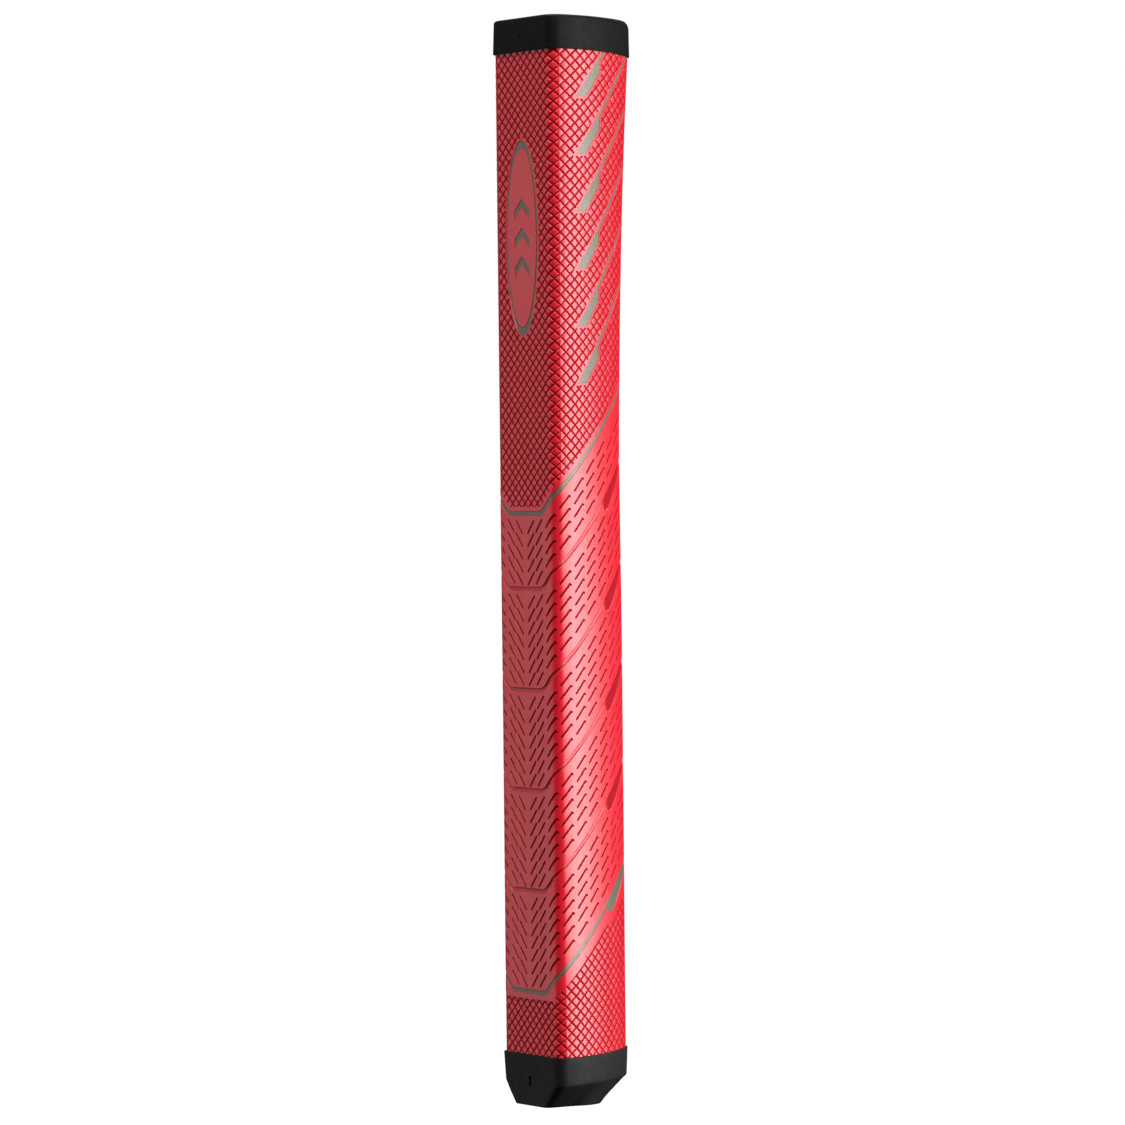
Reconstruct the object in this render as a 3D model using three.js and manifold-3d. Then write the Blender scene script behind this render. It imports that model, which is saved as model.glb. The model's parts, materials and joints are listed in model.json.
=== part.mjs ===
import * as THREE from 'three';
import { mergeVertices } from 'three/addons/utils/BufferGeometryUtils.js';
import Module from 'manifold-3d';

// Putter grip, millimetres, +Z from the mouth end towards the butt end.
// The flat thumb face looks towards -Y and the rounded spine towards +Y.
// The origin is on the shaft bore's axis, at the bottom face of the mouth cap.

const LENGTH = 267.0;
const MOUTH_LIP_Z = 12.6;
const BUTT_LIP_Z = 258.6;
const GAP = 0.3;
const SLIVER_HEIGHT = 0.003;
const SHORT_EDGE = 0.03;
const SLIVER_ROUNDS = 400;

// Section round the girth: a flat thumb face, then four arcs on each side.
// Every arc is a radius with the headings of its two ends, in degrees.
const ARCS = [
  { radius: 2.6, from: 0, to: 91 },
  { radius: 20.0, from: 91, to: 106.5 },
  { radius: 48.0, from: 106.5, to: 130 },
  { radius: 4.2, from: 130, to: 180 },
];
const FRONT_Y = -11.0;
const BUTT_WIDENING = 0.046;
const WIDENING_START_Z = 100.0;
const HANDLE_DEPTH = 27.0;
const BUTT_FLARE = 4.74;
const BUTT_FLARE_START_Z = 155.0;
const BUTT_FLARE_SPAN = 121.0;
const BUTT_FLARE_POWER = 2.1;
const WAIST_DEPTH = 0.3;
const WAIST_Z = 157.0;
const WAIST_SPREAD = 26.0;

// Layers, measured inwards from the outer surface.
const SKIN_THICKNESS = 1.2;
const FELT_TOP = 1.5;
const FELT_BOTTOM = 2.0;
const FOAM_TOP = 2.3;
const CAP_LIP = 0.45;
const CAP_DRAFT = 0.3;

const SHAFT_BORE = 14.7;
const BORE_SIDES = 40;
const PLUG_LENGTH = 6.0;
const BUTT_EDGE_FRONT = 0.8;
const BUTT_EDGE_SPINE = 2.6;
const VENT_DIAMETER = 2.6;
const DIMPLE_DIAMETER = 0.7;
const DIMPLE_Z = 262.4;
const MARK_WIDTH = 0.5;
const MARK_BOTTOM_Z = 5.0;
const MARK_TOP_Z = 7.7;

// The mouth cap narrows below this height, the thumb face staying flat.
const TAPER_START_SIDE_Z = 5.2;
const TAPER_START_SPINE_Z = 6.2;
const TAPER_WIDTH = 0.68;
const TAPER_DEPTH = 0.77;
const MOUTH_RIM_RADIUS = 9.0;

// Silver fills lie in shallow recesses of the skin.
const FILL_TOP = 0.05;
const FILL_BOTTOM = 0.35;
const RECESS_BOTTOM = 0.68;
const RECESS_ABOVE = -1.0;

// Rear seam: the edges of the skin meet along the spine over a filler strip.
const SEAM_HALF_SLIT = 0.9;
const SEAM_HALF_FILLER = 0.6;
const SEAM_FILLER_TOP = 0.15;
const SEAM_FILLER_BOTTOM = 1.7;

// Slashes: a short wide bar on the shoulder that runs on as a thin tail.
const SLASH_COUNT = 6;
const SLASH_FIRST_Z = 247.1;
const SLASH_PITCH = 14.0;
const SLASH_START = 19.3;
const SLASH_DRIFT = 0.16;
const SLASH_SLOPE = 1.27;
const SLASH_WIDTH = 2.95;
const SLASH_TAIL_WIDTH = 1.15;
const SLASH_REACH = 8.4;
const SLASH_END = 41.0;

const UPPER_ACCENT_Z = 145.5;
const LOWER_ACCENT_Z = 28.1;
const ACCENT_BEND = 8.0;
const ACCENT_SLOPE = 0.955;
const ACCENT_HALF = 0.55;
const ACCENT_END = 41.3;
const LENS_START = 30.6;
const LENS_FULL = 32.4;
const LENS_DROP = 3.4;

const EMBLEM_Z = 213.0;
const EMBLEM_HALF_WIDTH = 7.2;
const EMBLEM_HALF_HEIGHT = 23.9;
const EMBLEM_RIM_SIDE = 0.75;
const EMBLEM_RIM_END = 2.0;
const EMBLEM_SIDES = 48;
const CHEVRON_HALF_WIDTH = 3.4;
const CHEVRON_RISE = 3.0;
const CHEVRON_THICKNESS = 2.2;
const CHEVRON_PITCH = 7.0;

const red = new THREE.MeshStandardMaterial({ color: 0xd0142c, roughness: 0.55, metalness: 0 });
const silver = new THREE.MeshStandardMaterial({ color: 0xb2aca2, roughness: 0.45, metalness: 0.3 });
const black = new THREE.MeshStandardMaterial({ color: 0x1e1d1d, roughness: 0.7, metalness: 0 });
const foam = new THREE.MeshStandardMaterial({ color: 0xd8d6d0, roughness: 0.9, metalness: 0 });
const felt = new THREE.MeshStandardMaterial({ color: 0x55585c, roughness: 0.95, metalness: 0 });
const glue = new THREE.MeshStandardMaterial({ color: 0x9c1022, roughness: 0.6, metalness: 0 });

const wasm = await Module();
wasm.setup();

const radians = (degrees) => degrees * Math.PI / 180;
const arcs = ARCS.map((arc) => ({ radius: arc.radius, from: radians(arc.from), to: radians(arc.to) }));
const reach = arcs.map((arc) => arc.radius * (Math.sin(arc.to) - Math.sin(arc.from)));
const FLAT_HALF = -reach.reduce((sum, value) => sum + value, 0);
const HALF_GIRTH = arcs.reduce((sum, arc) => sum + arc.radius * (arc.to - arc.from), FLAT_HALF);
const CORNER_END = FLAT_HALF + arcs[0].radius * arcs[0].to;

// The point of the base section at a distance along the girth from the middle
// of the thumb face, positive towards +X.
function sectionPoint(distance) {
  const turns = Math.round(distance / (2 * HALF_GIRTH));
  const along = distance - turns * 2 * HALF_GIRTH;
  const side = Math.sign(along);
  let left = Math.abs(along);
  if (left <= FLAT_HALF) {
    return [along, 0];
  }
  left -= FLAT_HALF;
  let x = FLAT_HALF;
  let y = 0;
  for (const arc of arcs) {
    const sweep = Math.min(left / arc.radius, arc.to - arc.from);
    const heading = arc.from + sweep;
    x += arc.radius * (Math.sin(heading) - Math.sin(arc.from));
    y += arc.radius * (Math.cos(arc.from) - Math.cos(heading));
    left -= sweep * arc.radius;
  }
  return [side * x, y];
}

const BASE_DEPTH = sectionPoint(HALF_GIRTH)[1];
const BASE_HALF_WIDTH = FLAT_HALF + arcs[0].radius * Math.sin(Math.PI / 2);

function halfWidth(z) {
  const share = Math.max(0, (z - WIDENING_START_Z) / (BUTT_LIP_Z - WIDENING_START_Z));
  return BASE_HALF_WIDTH * (1 + BUTT_WIDENING * share);
}

function depth(z) {
  const share = Math.max(0, (z - BUTT_FLARE_START_Z) / BUTT_FLARE_SPAN);
  const waist = WAIST_DEPTH * Math.exp(-(((z - WAIST_Z) / WAIST_SPREAD) ** 2));
  return HANDLE_DEPTH + BUTT_FLARE * share ** BUTT_FLARE_POWER - waist;
}

// Puts a girth distance, a height and a distance below the surface in space.
function wrap(along, z, below) {
  const [x, y] = sectionPoint(along);
  const wide = (halfWidth(z) - below) / BASE_HALF_WIDTH;
  const deep = (depth(z) / 2 - below) / (BASE_DEPTH / 2);
  const centre = FRONT_Y + depth(z) / 2;
  return [x * wide, centre + (y - BASE_DEPTH / 2) * deep, z];
}

function shaped(geometry, place) {
  const flat = geometry.clone();
  flat.deleteAttribute('normal');
  flat.deleteAttribute('uv');
  const position = flat.getAttribute('position');
  for (let i = 0; i < position.count; i += 1) {
    const [x, y, z] = place(position.getX(i), position.getY(i), position.getZ(i), i);
    position.setXYZ(i, x, y, z);
  }
  return mergeVertices(flat, 1e-4);
}

function solid(geometry) {
  const bare = geometry.clone();
  bare.deleteAttribute('normal');
  bare.deleteAttribute('uv');
  const merged = mergeVertices(bare, 1e-4);
  const vertProperties = new Float32Array(merged.getAttribute('position').array);
  const triVerts = new Uint32Array(merged.index.array);
  const first = new wasm.Manifold(new wasm.Mesh({ numProp: 3, vertProperties, triVerts }));
  if (first.volume() > 0) {
    return first;
  }
  for (let i = 0; i < triVerts.length; i += 3) {
    const swap = triVerts[i + 1];
    triVerts[i + 1] = triVerts[i + 2];
    triVerts[i + 2] = swap;
  }
  return new wasm.Manifold(new wasm.Mesh({ numProp: 3, vertProperties, triVerts }));
}

function geometryOf(manifold) {
  const mesh = manifold.getMesh();
  const geometry = new THREE.BufferGeometry();
  geometry.setAttribute('position', new THREE.BufferAttribute(new Float32Array(mesh.vertProperties), 3));
  geometry.setIndex(withoutSlivers(geometry, Array.from(mesh.triVerts)));
  return geometry;
}

function edgeLengths(position, face) {
  const corners = face.map((vertex) => new THREE.Vector3().fromBufferAttribute(position, vertex));
  return corners.map((corner, k) => corner.distanceTo(corners[(k + 1) % 3]));
}

// Cuts leave needle-thin faces. One with a short edge is closed up along it,
// and one with three long edges gives its longest edge to its neighbour.
function withoutSlivers(geometry, index) {
  const position = geometry.getAttribute('position');
  let faces = [];
  for (let i = 0; i < index.length; i += 3) {
    faces.push(index.slice(i, i + 3));
  }
  for (let round = 0; round < SLIVER_ROUNDS; round += 1) {
    const sliver = faces.find((face) => {
      const lengths = edgeLengths(position, face);
      const half = (lengths[0] + lengths[1] + lengths[2]) / 2;
      const area = Math.sqrt(Math.max(0, lengths.reduce((product, length) => product * (half - length), half)));
      return 2 * area / Math.max(...lengths) < SLIVER_HEIGHT;
    });
    if (!sliver) {
      break;
    }
    const lengths = edgeLengths(position, sliver);
    const shortest = lengths.indexOf(Math.min(...lengths));
    if (lengths[shortest] < SHORT_EDGE) {
      const kept = sliver[shortest];
      const lost = sliver[(shortest + 1) % 3];
      faces = faces.map((face) => face.map((vertex) => (vertex === lost ? kept : vertex)));
      faces = faces.filter((face) => new Set(face).size === 3);
      continue;
    }
    const longest = lengths.indexOf(Math.max(...lengths));
    const [a, b, top] = [sliver[longest], sliver[(longest + 1) % 3], sliver[(longest + 2) % 3]];
    const other = faces.find((face) => face.some((vertex, k) => vertex === b && face[(k + 1) % 3] === a));
    const far = other.find((vertex) => vertex !== a && vertex !== b);
    faces[faces.indexOf(sliver)] = [a, far, top];
    faces[faces.indexOf(other)] = [far, b, top];
  }
  return faces.flat();
}

function steps(from, to, count) {
  return Array.from({ length: count + 1 }, (_, i) => from + (to - from) * i / count);
}

// Girth stations: close together round the corners and the spine, wide apart
// on the flatter faces.
function halfStations() {
  const stations = [FLAT_HALF];
  const counts = [5, 2, 6, 5];
  let start = FLAT_HALF;
  arcs.forEach((arc, index) => {
    const end = start + arc.radius * (arc.to - arc.from);
    stations.push(...steps(start, end, counts[index]).slice(1));
    start = end;
  });
  return stations;
}

const HALF_STATIONS = halfStations();
const GIRTH_STATIONS = [...HALF_STATIONS.map((value) => -value).reverse(), ...HALF_STATIONS];

// A layer that runs round the girth from one edge of the rear seam to the other.
function openLayer(top, bottom, halfSlit, heights) {
  const limit = HALF_GIRTH - halfSlit;
  const stations = GIRTH_STATIONS.map((value) => THREE.MathUtils.clamp(value, -limit, limit));
  const across = stations.length - 1;
  const up = heights.length - 1;
  const block = new THREE.BoxGeometry(1, 1, 1, across, up, 1);
  return shaped(block, (u, v, w) => {
    const along = stations[Math.round((u + 0.5) * across)];
    const z = heights[Math.round((v + 0.5) * up)];
    return wrap(along, z, w > 0 ? top : bottom);
  });
}

// A closed body of stacked rings, each ring a function of the girth distance.
function stackedRings(rings) {
  const outline = rings.map((_, index) => new THREE.Vector2(1, index));
  const count = GIRTH_STATIONS.length - 1;
  const lathe = new THREE.LatheGeometry(outline, count);
  return shaped(lathe, (x, y, z, i) => {
    const along = GIRTH_STATIONS[Math.floor(i / rings.length)];
    return rings[i % rings.length](along);
  });
}

function cylinder(diameter, from, to, sides = BORE_SIDES) {
  const geometry = new THREE.CylinderGeometry(diameter / 2, diameter / 2, to - from, sides);
  geometry.rotateX(Math.PI / 2);
  geometry.translate(0, 0, (from + to) / 2);
  return solid(geometry);
}

// A strip that follows two edges given at the same stations.
function strip(stations, columns, top, bottom) {
  const along = stations.length - 1;
  const block = new THREE.BoxGeometry(1, 1, 1, along, columns, 1);
  return shaped(block, (u, v, w) => {
    const station = stations[Math.round((u + 0.5) * along)];
    const share = v + 0.5;
    const girth = station.from[0] + (station.to[0] - station.from[0]) * share;
    const z = station.from[1] + (station.to[1] - station.from[1]) * share;
    return wrap(girth, z, w > 0 ? top : bottom);
  });
}

// The silver slash on one side, grown by a margin for its recess.
function slash(index, side, grow, top, bottom) {
  const start = SLASH_START + SLASH_DRIFT * index;
  const base = SLASH_FIRST_Z - SLASH_PITCH * index;
  const ceiling = BUTT_LIP_Z - GAP;
  const spread = grow * Math.hypot(1, 1 / SLASH_SLOPE);
  const leftAt = (z) => start + (z - base) / SLASH_SLOPE;
  const shoulder = start + SLASH_REACH;
  const bodyEnd = base + SLASH_SLOPE * (SLASH_REACH - SLASH_WIDTH);
  const tailStart = base + SLASH_SLOPE * (SLASH_REACH - SLASH_TAIL_WIDTH);
  const tailEnd = Math.min(base + SLASH_SLOPE * (SLASH_END - start - SLASH_TAIL_WIDTH), ceiling);
  const rightAt = (z) => Math.min(leftAt(z) + SLASH_WIDTH, Math.max(shoulder, leftAt(z) + SLASH_TAIL_WIDTH));
  const low = base - grow;
  const high = Math.min(tailEnd + grow, BUTT_LIP_Z);
  const levels = [low, base + 3, bodyEnd];
  if (tailStart < high - 1) {
    levels.push(tailStart);
    const pieces = Math.max(1, Math.round((high - tailStart) / 4));
    levels.push(...steps(tailStart, high, pieces).slice(1));
  } else {
    levels.push(high);
  }
  const stations = levels.map((z) => ({
    from: [side * (leftAt(z) - spread), z],
    to: [side * (rightAt(z) + spread), z],
  }));
  return strip(stations, 2, top, bottom);
}

// The silver line that crosses the thumb face and climbs round both flanks,
// with a wider lens behind each shoulder when it has one.
function accent(level, hasLens, grow, top, bottom) {
  const end = ACCENT_END + grow;
  const round = (CORNER_END - FLAT_HALF) / 10;
  const half = [0, ACCENT_BEND, ...steps(FLAT_HALF - round, CORNER_END + round, 6), 19, 23, 27];
  const places = [...half, LENS_START, LENS_FULL, 35, 37.5, 39.5, end];
  const both = [...places.slice(1).reverse().map((value) => -value), ...places];
  const stations = both.map((along) => {
    const distance = Math.abs(along);
    const climb = ACCENT_SLOPE * Math.max(0, distance - ACCENT_BEND);
    const slanted = distance > ACCENT_BEND ? Math.hypot(1, ACCENT_SLOPE) : 1;
    const reachUp = (ACCENT_HALF + grow) * slanted;
    const share = THREE.MathUtils.clamp((distance - LENS_START) / (LENS_FULL - LENS_START), 0, 1);
    const fade = THREE.MathUtils.clamp((end - distance) / (end - LENS_FULL), 0.25, 1);
    const drop = hasLens ? LENS_DROP * share * fade : 0;
    return {
      from: [along, level + climb - reachUp - drop],
      to: [along, level + climb + reachUp],
    };
  });
  return strip(stations, hasLens ? 2 : 1, top, bottom);
}

// The tall elliptical ring of the emblem, thin at the sides and thick at the ends.
function emblemRing(grow, top, bottom) {
  const block = new THREE.BoxGeometry(1, 1, 1, EMBLEM_SIDES, 1, 1);
  const ring = shaped(block, (u, v, w) => {
    const angle = (u + 0.5) * 2 * Math.PI;
    const outside = v > 0;
    const wide = EMBLEM_HALF_WIDTH + (outside ? grow : -EMBLEM_RIM_SIDE - grow);
    const tall = EMBLEM_HALF_HEIGHT + (outside ? grow : -EMBLEM_RIM_END - grow);
    return wrap(wide * Math.sin(angle), EMBLEM_Z + tall * Math.cos(angle), w > 0 ? top : bottom);
  });
  return weldedRing(ring);
}

// A block bent into a full ring meets itself: its two end faces are dropped.
function weldedRing(geometry) {
  const index = Array.from(geometry.index.array);
  const seen = new Map();
  for (let i = 0; i < index.length; i += 3) {
    const key = [index[i], index[i + 1], index[i + 2]].sort((a, b) => a - b).join('_');
    seen.set(key, (seen.get(key) ?? 0) + 1);
  }
  const kept = [];
  for (let i = 0; i < index.length; i += 3) {
    const face = [index[i], index[i + 1], index[i + 2]];
    const key = [...face].sort((a, b) => a - b).join('_');
    const corners = face.map((corner) => geometry.getAttribute('position').getX(corner));
    const atSeam = corners.every((x) => Math.abs(x) < 1e-6);
    if (seen.get(key) === 1 && !atSeam) {
      kept.push(...face);
    }
  }
  const ring = geometry.clone();
  ring.setIndex(kept);
  return ring;
}

function chevron(index, grow, top, bottom) {
  const middle = EMBLEM_Z + CHEVRON_PITCH * (index - 1);
  const half = CHEVRON_THICKNESS / 2 + grow;
  const stations = [-1, 0, 1].map((side) => {
    const along = side * (CHEVRON_HALF_WIDTH + grow);
    const z = middle - CHEVRON_RISE / 2 + CHEVRON_RISE * (1 - Math.abs(side));
    return { from: [along, z - half], to: [along, z + half] };
  });
  return strip(stations, 1, top, bottom);
}

function foamCore() {
  const heights = [MOUTH_LIP_Z + GAP, 60, 110, 145, 170, 195, 220, 240, BUTT_LIP_Z - GAP];
  const rings = heights.map((z) => (along) => wrap(along, z, FOAM_TOP));
  rings.unshift(() => [0, 0, heights[0]]);
  rings.push(() => [0, 0, heights.at(-1)]);
  return solid(stackedRings(rings)).subtract(cylinder(SHAFT_BORE, 0, LENGTH));
}

function outerSkin(cutters) {
  const heights = [MOUTH_LIP_Z + GAP, 60, 110, 145, 170, 195, 220, 240, BUTT_LIP_Z - GAP];
  let skin = solid(openLayer(0, SKIN_THICKNESS, SEAM_HALF_SLIT, heights));
  for (const cutter of cutters) {
    skin = skin.subtract(cutter);
  }
  return skin;
}

function feltBacking() {
  const heights = [MOUTH_LIP_Z + GAP, 60, 110, 145, 170, 195, 220, 240, BUTT_LIP_Z - GAP];
  return solid(openLayer(FELT_TOP, FELT_BOTTOM, SEAM_HALF_SLIT, heights));
}

function seamFiller() {
  const heights = steps(MOUTH_LIP_Z + GAP, BUTT_LIP_Z - GAP, 10);
  const block = new THREE.BoxGeometry(1, 1, 1, 2, 10, 1);
  return solid(shaped(block, (u, v, w) => {
    const along = HALF_GIRTH + 2 * SEAM_HALF_FILLER * u;
    const z = heights[Math.round((v + 0.5) * 10)];
    return wrap(along, z, w > 0 ? SEAM_FILLER_TOP : SEAM_FILLER_BOTTOM);
  }));
}

// How far round a girth distance lies, from 0 at the thumb face to 1 at the spine.
function spineShare(along) {
  return sectionPoint(along)[1] / BASE_DEPTH;
}

function buttCap() {
  const edge = (along) => BUTT_EDGE_FRONT + (BUTT_EDGE_SPINE - BUTT_EDGE_FRONT) * spineShare(along) ** 2;
  const draft = (along) => 0.2 + 0.35 * spineShare(along);
  const rings = [
    () => [0, 0, BUTT_LIP_Z],
    (along) => wrap(along, BUTT_LIP_Z, -CAP_LIP),
    (along) => wrap(along, LENGTH - edge(along), -CAP_LIP + draft(along)),
  ];
  for (const angle of [30, 60, 90]) {
    const inward = 1 - Math.cos(radians(angle));
    const up = Math.sin(radians(angle));
    rings.push((along) => {
      const below = -CAP_LIP + draft(along) + edge(along) * inward;
      return [...wrap(along, LENGTH, below).slice(0, 2), LENGTH - edge(along) * (1 - up)];
    });
  }
  rings.push(() => [0, 0, LENGTH]);
  const plug = cylinder(SHAFT_BORE - 2 * GAP, BUTT_LIP_Z - PLUG_LENGTH, BUTT_LIP_Z + 1);
  const vent = cylinder(VENT_DIAMETER, BUTT_LIP_Z - PLUG_LENGTH - 1, LENGTH + 1, 16);
  const dimple = new THREE.CylinderGeometry(DIMPLE_DIAMETER / 2, DIMPLE_DIAMETER / 2, 1, 12);
  dimple.translate(0, FRONT_Y, DIMPLE_Z);
  return solid(stackedRings(rings)).add(plug).subtract(vent).subtract(solid(dimple));
}

function mouthCap() {
  const front = FRONT_Y - CAP_LIP + CAP_DRAFT;
  const tapered = (along, share) => {
    const [x, y] = wrap(along, 0, -CAP_LIP + CAP_DRAFT);
    const end = [x * TAPER_WIDTH, front + (y - front) * TAPER_DEPTH];
    const stretch = Math.max(1, MOUTH_RIM_RADIUS / Math.hypot(...end));
    return [x + (end[0] * stretch - x) * share, y + (end[1] * stretch - y) * share];
  };
  const start = (along) => {
    return TAPER_START_SIDE_Z + (TAPER_START_SPINE_Z - TAPER_START_SIDE_Z) * spineShare(along);
  };
  const rings = [
    () => [0, 0, 0],
    (along) => [...tapered(along, 1.06), 0],
    (along) => [...tapered(along, 1.0), 0.5],
    (along) => [...tapered(along, 0.12), start(along) - 0.2],
    (along) => [...tapered(along, 0.0), start(along) + 0.6],
    (along) => wrap(along, MOUTH_LIP_Z, -CAP_LIP),
    () => [0, 0, MOUTH_LIP_Z],
  ];
  const bore = cylinder(SHAFT_BORE, -1, MOUTH_LIP_Z + 1);
  const mark = new THREE.BoxGeometry(MARK_WIDTH, 1.2, MARK_TOP_Z - MARK_BOTTOM_Z);
  mark.translate(0, front, (MARK_BOTTOM_Z + MARK_TOP_Z) / 2);
  return solid(stackedRings(rings)).subtract(bore).subtract(solid(mark));
}

const grip = new THREE.Group();

function addPart(name, manifold, material) {
  const mesh = new THREE.Mesh(geometryOf(manifold), material);
  mesh.name = name;
  grip.add(mesh);
}

const fills = [];

function addFill(name, make) {
  fills.push(solid(make(GAP, RECESS_ABOVE, RECESS_BOTTOM)));
  addPart(name, solid(make(0, FILL_TOP, FILL_BOTTOM)), silver);
}

for (let index = 0; index < SLASH_COUNT; index += 1) {
  addFill(`slash_right_${index + 1}`, (...cut) => slash(index, 1, ...cut));
  addFill(`slash_left_${index + 1}`, (...cut) => slash(index, -1, ...cut));
}
addFill('upper_accent', (...cut) => accent(UPPER_ACCENT_Z, false, ...cut));
addFill('lower_accent', (...cut) => accent(LOWER_ACCENT_Z, true, ...cut));
addFill('emblem_ring', (...cut) => emblemRing(...cut));
['lower', 'middle', 'upper'].forEach((place, index) => {
  addFill(`emblem_chevron_${place}`, (...cut) => chevron(index, ...cut));
});

addPart('outer_skin', outerSkin(fills), red);
addPart('felt_backing', feltBacking(), felt);
addPart('foam_core', foamCore(), foam);
addPart('seam_filler', seamFiller(), glue);
addPart('butt_cap', buttCap(), black);
addPart('mouth_cap', mouthCap(), black);

export default grip;
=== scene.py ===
"""A putter grip: a cross-cut red skin over foam, silver fills and black rubber end caps.

The grip stands on +Z with its flat thumb face towards -Y. Sizes are in millimetres on
the unrolled skin, where a place is its distance round the girth from the middle of the
thumb face, its height along the shaft and its depth below the surface. Section.place
turns such a place into metres in space.
"""

import json
import logging
import math
from collections.abc import Callable, Iterable, Sequence
from dataclasses import dataclass, field
from enum import Enum

import bmesh
import bpy
import numpy as np
from mathutils import Matrix, Vector
from mathutils.geometry import delaunay_2d_cdt

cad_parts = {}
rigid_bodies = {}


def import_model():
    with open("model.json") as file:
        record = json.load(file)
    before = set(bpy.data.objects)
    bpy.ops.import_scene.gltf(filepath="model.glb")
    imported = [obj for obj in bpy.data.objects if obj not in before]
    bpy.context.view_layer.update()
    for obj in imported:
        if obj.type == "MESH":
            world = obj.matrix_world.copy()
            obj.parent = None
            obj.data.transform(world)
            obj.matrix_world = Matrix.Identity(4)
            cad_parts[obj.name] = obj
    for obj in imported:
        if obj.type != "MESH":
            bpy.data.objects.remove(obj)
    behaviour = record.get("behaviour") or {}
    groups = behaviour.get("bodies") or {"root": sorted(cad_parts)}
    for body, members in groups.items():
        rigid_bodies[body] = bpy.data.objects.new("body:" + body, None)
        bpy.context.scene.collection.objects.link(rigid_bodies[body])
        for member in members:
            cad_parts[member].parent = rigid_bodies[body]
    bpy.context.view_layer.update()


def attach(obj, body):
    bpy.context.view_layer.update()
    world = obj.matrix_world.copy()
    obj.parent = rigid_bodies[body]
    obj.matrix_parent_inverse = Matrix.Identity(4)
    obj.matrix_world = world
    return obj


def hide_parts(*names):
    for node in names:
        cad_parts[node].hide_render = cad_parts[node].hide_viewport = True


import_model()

log = logging.getLogger("grip")

MM = 0.001
BODY = "root"
SHARP_ANGLE = math.radians(24)
LIP_INSIDE = -0.03
LIP_EDGE = 0.12
LIP_EASE = 0.035
SAME_PLACE = 1e-5
ON_MIDDLE = 1e-4
MIRROR_MERGE = 2e-7
RING_MERGE = 1e-7
WALL_MERGE = 3e-6
UNDERSIDE_STEP = 12.0
PLATE_STEP = 6.0
# The mesh attribute that carries painted shade: how far down a groove, slit or channel each point lies, which
# darkens the skin there.
PAINTED_SHADE_LAYER = "groove"

Place = tuple[float, float]
Loop = list[Place]


class Side(Enum):
    """The two flanks of the grip, right and left for someone who looks at the thumb face."""

    RIGHT = 1
    LEFT = -1


@dataclass(frozen=True)
class Arc:
    """One arc of the girth: its radius and the headings of its ends, in degrees."""

    radius: float
    start: float
    end: float

    @property
    def length(self) -> float:
        """Return the arc's length."""
        return self.radius * math.radians(self.end - self.start)


@dataclass(frozen=True)
class Section:
    """The outline round the girth and how it changes along the grip."""

    front_y: float = -11.0
    arcs: tuple[Arc, ...] = (
        Arc(2.6, 0, 91),
        Arc(20.0, 91, 106.5),
        Arc(48.0, 106.5, 130),
        Arc(4.2, 130, 180),
    )
    widening: float = 0.046
    widening_start: float = 100.0
    widening_end: float = 258.6
    handle_depth: float = 27.0
    flare: float = 4.74
    flare_start: float = 155.0
    flare_span: float = 121.0
    flare_power: float = 2.1
    waist: float = 0.3
    waist_height: float = 157.0
    waist_spread: float = 26.0

    @property
    def flat_half(self) -> float:
        """Return half the width of the flat thumb face."""
        run = 0.0
        for arc in self.arcs:
            run += arc.radius * (math.sin(math.radians(arc.end)) - math.sin(math.radians(arc.start)))
        return -run

    @property
    def half_girth(self) -> float:
        """Return the distance from the middle of the thumb face to the spine."""
        return self.flat_half + sum(arc.length for arc in self.arcs)

    def outline(self, along: np.ndarray) -> tuple[np.ndarray, np.ndarray]:
        """Find points of the base section.

        Args:
            along: distances round the girth.

        Returns:
            The x and the depth behind the thumb face of each point.
        """
        girth = 2 * self.half_girth
        folded = along - np.round(along / girth) * girth
        left = np.abs(folded)
        x = np.minimum(left, self.flat_half)
        y = np.zeros_like(x)
        rest = left - self.flat_half
        for arc in self.arcs:
            start = math.radians(arc.start)
            sweep = np.clip(rest / arc.radius, 0, math.radians(arc.end) - start)
            x += arc.radius * (np.sin(start + sweep) - math.sin(start))
            y += arc.radius * (math.cos(start) - np.cos(start + sweep))
            rest = rest - arc.length
        return np.sign(folded) * x, y

    def half_width(self, height: np.ndarray) -> np.ndarray:
        """Return half the grip's width at each height."""
        span = self.widening_end - self.widening_start
        share = np.maximum(0, (height - self.widening_start) / span)
        return (self.flat_half + self.arcs[0].radius) * (1 + self.widening * share)

    def depth(self, height: np.ndarray) -> np.ndarray:
        """Return the grip's depth from thumb face to spine at each height."""
        share = np.maximum(0, (height - self.flare_start) / self.flare_span)
        waist = self.waist * np.exp(-(((height - self.waist_height) / self.waist_spread) ** 2))
        return self.handle_depth + self.flare * share**self.flare_power - waist

    def place(self, along: np.ndarray, height: np.ndarray, below: np.ndarray) -> np.ndarray:
        """Put places of the unrolled skin in space.

        Args:
            along: distances round the girth.
            height: heights along the shaft.
            below: depths under the surface.

        Returns:
            One row of x, y and z in metres for each place.
        """
        x, y = self.outline(np.asarray(along, float))
        base_width = self.flat_half + self.arcs[0].radius
        base_depth = float(self.outline(np.array([self.half_girth]))[1][0])
        depth = self.depth(np.asarray(height, float))
        wide = (self.half_width(np.asarray(height, float)) - below) / base_width
        deep = (depth / 2 - below) / (base_depth / 2)
        centre = self.front_y + depth / 2
        space = np.stack([x * wide, centre + (y - base_depth / 2) * deep, height + 0 * x], -1)
        return space * MM


SECTION = Section()
BEND_STEPS = (0.46, 1.0, 1.4, 0.6)


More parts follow.
